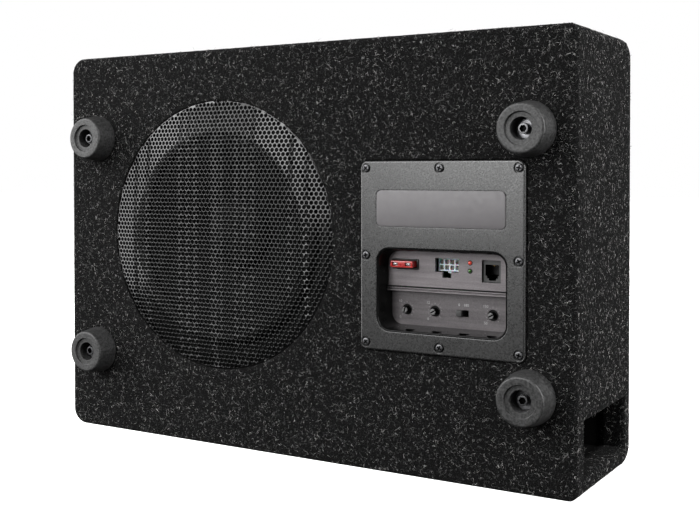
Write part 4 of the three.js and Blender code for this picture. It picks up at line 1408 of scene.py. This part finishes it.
def make_fuse():
    holder, fuse = node_box("fuse_holder"), node_box("blade_fuse")
    black = moulded("holder_nylon", grey(0.012), 0.45)
    ring = cut_mesh("fuse_clip", slab(holder.x, holder.z, holder.w, holder.h, 0.7 * MM,
                    holder.y0, holder.y1, 0.3 * MM, 0.2 * MM),
                    slab(fuse.x, fuse.z, 18.6 * MM, 5.5 * MM, 0.5 * MM, holder.y0 - 5 * MM,
                         fuse.y1 + 1.4 * MM))
    add_piece("fuse_clip", ring, black, ("fuse_holder",))
    # The head glows faintly, a painted light, and is painted dark red behind its front face, a
    # painted shade.
    red = tinted_plastic("fuse_red", (0.66, 0.075, 0.07), (0.30, 0.015, 0.015), 0.02,
                         thick=(fuse.y0 + 0.7 * MM, fuse.y0 + 1.5 * MM))
    head_y1 = fuse.y0 + 10.5 * MM
    head = slab(fuse.x, fuse.z, fuse.w, fuse.h, 0.9 * MM, fuse.y0, head_y1, 0.45 * MM,
                0.2 * MM, 6)
    windows = [slab(fuse.x + side * 4.9 * MM, fuse.z, 4.6 * MM, 2.4 * MM, 0.3 * MM,
                    fuse.y0 - MM, fuse.y0 + 2.6 * MM) for side in (-1, 1)]
    waist = [slab(fuse.x, fuse.z + side * 2.9 * MM, 3.4 * MM, 1.5 * MM, 0.4 * MM,
                  fuse.y0 - MM, head_y1 + MM) for side in (-1, 1)]
    mesh = cut_mesh("fuse_head", head, *windows, *waist)
    add_piece("fuse_head", mesh, red, ("blade_fuse",), "fuse")
    tin = metal("fuse_blade_zinc", (0.75, 0.76, 0.78), 0.25)
    blades = []
    for side in (-1, 1):
        x = fuse.x + side * 5.6 * MM
        blades.append(box_at(x - 2.6 * MM, x + 2.6 * MM, fuse.y0 + 1.6 * MM, fuse.y1,
                             fuse.z - 0.35 * MM, fuse.z + 0.35 * MM, 0.1 * MM))
        point = fuse.x + side * 5.0 * MM
        blades.append(box_at(point - 1.3 * MM, point + 1.5 * MM, fuse.y0 + 0.5 * MM,
                             fuse.y0 + 2.2 * MM, fuse.z - 0.7 * MM, fuse.z + 0.7 * MM,
                             0.25 * MM))
    add_piece("fuse_blades", joined(*blades), tin, (), "fuse")


def make_header():
    box = node_box("power_header")
    z = box.z1 - HEADER_H / 2
    pocket, depth = 2.95 * MM, 9 * MM
    nylon = moulded("header_nylon", (0.84, 0.88, 0.92), 0.35, 0.8, 0.01, 0.08,
                    Subsurface_Weight=0.3, Subsurface_Scale=0.003)
    body = slab(box.x, z, HEADER_W, HEADER_H, 0.5 * MM, box.y0, box.y1, 0.25 * MM, 0.1 * MM)
    places = [(box.x + i * HEADER_PITCH, z + j * HEADER_PITCH)
              for i in (-1.5, -0.5, 0.5, 1.5) for j in (-0.5, 0.5)]
    tools = []
    for k, (px, pz) in enumerate(places):
        corner = 0.9 * MM if k in (3, 4, 7) else 0.2 * MM
        tools.append(slab(px, pz, pocket, pocket, corner, box.y0 - MM, box.y0 + depth))
    mesh = cut_mesh("header_shell", body, *tools)
    shell = add_piece("header_shell", mesh, nylon, ("power_header",))
    bevelled(shell, 0.12)
    latch = box_at(box.x - 1.7 * MM, box.x + 1.7 * MM, box.y0 + 1.2 * MM, box.y0 + 5 * MM,
                   z - 5.7 * MM, z - 4.3 * MM, 0.25 * MM)
    add_piece("header_latch", latch, nylon)
    pin_grey = moulded("pin_brass", (0.20, 0.19, 0.16), 0.4, spread=0.4)
    pins = [box_at(px - 1.1 * MM, px + 1.1 * MM, box.y0 + 1.5 * MM, box.y0 + depth + MM,
                   pz - 1.1 * MM, pz + 1.1 * MM, 0.3 * MM) for px, pz in places]
    add_piece("header_pins", joined(*pins), pin_grey)


def make_jack():
    box, hole = node_box("remote_jack"), opening("remote_jack_socket")
    # The socket's walls are painted black past its mouth: painted shade.
    plastic = moulded("jack_shell", grey(0.060), 0.4, 0.7, 0.015, 0.12,
                      bore=(box.y0 + 0.3 * MM, box.y0 + 0.7 * MM))
    deep = box.y0 + 11 * MM
    tools = [
        slab(hole.x, hole.z, 9.7 * MM, 7.4 * MM, 0.2 * MM, box.y0 - MM, deep),
        slab(hole.x, hole.z - 4.2 * MM, 7.6 * MM, 2.4 * MM, 0.2 * MM, box.y0 - MM, deep),
        slab(hole.x, hole.z - 5.2 * MM, 5 * MM, 3.2 * MM, 0.2 * MM, box.y0 - MM, deep),
    ]
    block = slab(box.x, box.z, box.w, box.h, 0.4 * MM, box.y0, box.y1, 0.2 * MM, 0.1 * MM)
    mesh = cut_in_turn("jack_shell", block, tools)
    shell = add_piece("jack_shell", mesh, plastic, ("remote_jack",))
    bevelled(shell, 0.12)
    # A black plug at the bottom of the socket, a painted shade.
    black = moulded("jack_lining", grey(0.006), 0.5)
    shade_plug = tube([
        [(x, y, z) for x, z in rounded(hole.x, hole.z, 9.5 * MM, 7.2 * MM, 0.2 * MM, 2)]
        for y in (deep - 1.2 * MM, deep - 0.1 * MM)])
    add_piece("jack_lining", shade_plug, black)
    gold = metal("contact_gold", (0.85, 0.6, 0.22), 0.2)
    wires = []
    for k in range(4):
        x = hole.x + (k - 1.5) * CONTACT_PITCH
        wires.append(box_at(x - 0.18 * MM, x + 0.18 * MM, box.y0 + 7.5 * MM, deep - 1.3 * MM,
                            hole.z + 2.2 * MM, hole.z + 2.6 * MM, 0.1 * MM))
    add_piece("jack_contacts", joined(*wires), gold)


def make_lights():
    looks = {
        "red": tinted_plastic("lens_red", (0.90, 0.10, 0.06), (0.55, 0.02, 0.015), 0.28),
        # The green lens's faint glow is painted light.
        "green": tinted_plastic("lens_green", (0.10, 0.26, 0.05), (0.012, 0.05, 0.012), 0.02),
    }
    # A black ring in the hole round each lens, a painted shade.
    dark = moulded("light_collar", grey(0.006), 0.4)
    for color, look in looks.items():
        box = node_box(f"status_light_{color}")
        crown = [(LENS_R * math.sin(a), box.y0 + LENS_R * (1 - math.cos(a)))
                 for a in (math.pi / 2 * k / 8 for k in range(9))]
        crown[0] = (0.0, box.y0)
        base, legs_r = box.y0 + 5 * MM, LENS_R * 0.6
        profile = crown + [(LENS_R, base), (legs_r, base), (legs_r, box.y1), (0.0, box.y1)]
        add_piece(f"lens_{color}", lathe(profile, box.x, box.z, 40), look,
                  (f"status_light_{color}",))
        shade_ring = washer_section(*LENS_SHADE_RING_R, box.y0 + 1.3 * MM, box.y0 + 4.5 * MM,
                                0.1 * MM)
        add_piece(f"light_collar_{color}", lathe(shade_ring, box.x, box.z, 40), dark)


def make_controls():
    tip = node_box("gain_shaft").y0
    # Each shaft is painted black behind its tip: painted shade in its hole.
    grey_plastic = moulded("shaft_plastic", grey(0.16), 0.38, 0.6, 0.015, 0.15,
                           bore=(tip + 0.5 * MM, tip + 0.9 * MM))
    # A black ring in the hole round each shaft, a painted shade.
    black = moulded("shaft_collar", grey(0.004), 0.6, Specular_IOR_Level=0.2)
    _, lower = panel_faces()
    for name, turn in zip(TRIMS, (15, 60, 62)):
        box = node_box(f"{name}_shaft")
        lean = math.radians(90 - turn)
        slot = leaning_bar(box.x, box.z, 3 * MM, 0.45 * MM, lean,
                           ((box.y0 - MM, 1.0), (box.y0 + 1.3 * MM, 1.0)))
        mesh = cut_mesh(f"{name}_spindle", rod(box.x, box.z, box.w / 2, box.y0, box.y1,
                        0.35 * MM, 0.1 * MM, 40), slot)
        piece = add_piece(f"{name}_spindle", mesh, grey_plastic,
                          (f"{name}_shaft",), f"{name}_control")
        bevelled(piece, 0.08)
        shade_ring = washer_section(*TRIM_SHADE_RING_R, lower + 0.5 * MM, lower + 4 * MM, 0.1 * MM)
        add_piece(f"{name}_collar", lathe(shade_ring, box.x, box.z, 48), black)
    lever = node_box("phase_lever")
    cap = box_at(lever.x0, lever.x1, lever.y0, lever.y1, lever.z0, lever.z1, 0.3 * MM)
    lever_grey = moulded("lever_plastic", grey(0.05), 0.45, 0.6, 0.02, 0.15)
    add_piece("phase_slider", cap, lever_grey, ("phase_lever",), "phase_control")
    switch = node_box("phase_switch")
    body = cut_mesh("switch_body", slab(switch.x, switch.z, switch.w, switch.h, 0.3 * MM,
                    switch.y0, switch.y1, 0.2 * MM, 0.1 * MM),
                    slab(switch.x, switch.z, 8.6 * MM, 4.5 * MM, 0.2 * MM,
                         switch.y0 - MM, lever.y1 + 0.4 * MM))
    add_piece("switch_body", body, moulded("switch_plastic", grey(0.008), 0.5),
              ("phase_switch",))


# ------------------------------------------------------------------ printed marks
INK_THICK = 0.03 * MM


def make_marks():
    """Pale printed ticks round each trim control and plain numbers at the ends of its travel."""
    ink = moulded("panel_ink", grey(0.42), 0.6, 0.4, 0.004, 0.2)
    _, lower = panel_faces()
    solids = []
    for name in TRIMS:
        shaft = node_box(f"{name}_shaft")
        for k in range(11):
            a = math.radians(225 - 27 * k)
            inner, outer = (4.7 * MM, (5.7 if k % 5 == 0 else 5.2) * MM)
            dx, dz = math.cos(a), math.sin(a)
            half = 0.1 * MM
            loop = [(shaft.x + r * dx - s * half * dz, shaft.z + r * dz + s * half * dx)
                    for r, s in ((inner, -1), (outer, -1), (outer, 1), (inner, 1))]
            solids.append(tube([[(x, y, z) for x, z in loop]
                                for y in (lower - INK_THICK, lower + INK_THICK)]))
    add_piece("panel_ticks", joined(*solids), ink)
    for name, pair in zip(TRIMS, (("10", "0"), ("12", "0"), ("150", "50"))):
        shaft = node_box(f"{name}_shaft")
        for digits, up in zip(pair, (1, -1)):
            number_mark(f"{name}_number_{digits}", digits, shaft.x - 5.2 * MM,
                        shaft.z + up * 5.6 * MM, lower, ink)
    switch = node_box("phase_switch")
    for digits, side in (("0", -1), ("180", 1)):
        number_mark(f"phase_number_{digits}", digits, switch.x + side * 2.6 * MM,
                    switch.z + 5.6 * MM, lower, ink)


def number_mark(name, digits, x, z, y, ink):
    """A printed number, centred on a place of the panel."""
    lettering = bpy.data.curves.new(name, "FONT")
    lettering.body = digits
    lettering.size = 2.6 * MM
    lettering.extrude = INK_THICK
    lettering.resolution_u = 3
    lettering.align_x, lettering.align_y = "CENTER", "CENTER"
    drawn = bpy.data.objects.new(name, lettering)
    mesh = bpy.data.meshes.new_from_object(drawn)
    for vertex in mesh.vertices:
        across, up, out = vertex.co
        vertex.co = (x + across, y - out, z + up)
    bpy.data.objects.remove(drawn)
    bpy.data.curves.remove(lettering)
    mesh.name = name
    add_piece(name, mesh, ink)


# ------------------------------------------------------------------ carried-over CAD nodes
def dress(material, *nodes):
    for node in nodes:
        mesh_object = frame["nodes"][node]
        mesh_object.data.materials.clear()
        mesh_object.data.materials.append(material)


def dress_cad():
    mdf = board("mdf", (0.36, 0.25, 0.15), (0.27, 0.18, 0.10), (0.44, 0.32, 0.20), 0.85)
    # Near-black boards: the baffle, the back, the bottom and the port's divider.
    near_black = board("stained_mdf", grey(0.004), grey(0.002), grey(0.006), 0.8,
                    Specular_IOR_Level=0.1)
    dress(mdf, "top_panel", "left_panel", "right_panel")
    dress(near_black, "front_baffle", "back_panel", "bottom_panel", "port_divider")
    dress(powder_coat("basket_paint", 0.012, 0.5, 0.6, 0.02, Specular_IOR_Level=0.15),
          "driver_basket")
    dress(powder_coat("gasket_foam", 0.01, 0.95, 0.5, 0.2, Specular_IOR_Level=0.1),
          "frame_gasket")
    dress(wound("coil_wire", (0.62, 0.28, 0.11), 0.35, "Y"), "voice_coil")
    dress(metal("motor_zinc", (0.56, 0.57, 0.58), 0.32), "top_plate", "pole_yoke")
    dress(powder_coat("ferrite", 0.05, 0.75, 0.9, 0.06), "ring_magnet")
    dress(moulded("terminal_board", (0.16, 0.09, 0.04), 0.5), "terminal_strip")
    dress(moulded("cable_jacket", grey(0.014), 0.4), "speaker_cable")
    dress(metal("heat_sink_aluminium", (0.55, 0.56, 0.57), 0.4, (1, 1, 0.05)), "heat_sink")
    dress(circuit(), "circuit_board")
    dress(moulded("capacitor_sleeve", (0.012, 0.012, 0.02), 0.25), "capacitor")
    dress(wound("choke_wire", (0.58, 0.25, 0.09), 0.9, "X"), "choke_coil")
    dress(moulded("pot_plastic", grey(0.010), 0.5), "gain_pot", "boost_pot", "low_pass_pot")


make_camera()
make_world()
make_floor()
make_lighting()

carpet_mesh = make_carpet()
make_fibres(carpet_mesh)
make_grille()
make_driver()
make_feet()
make_faceplate()
make_screws()
make_tray()
make_panel()
make_fuse()
make_header()
make_jack()
make_lights()
make_controls()
make_marks()
dress_cad()
bpy.context.scene.view_settings.view_transform = "Standard"
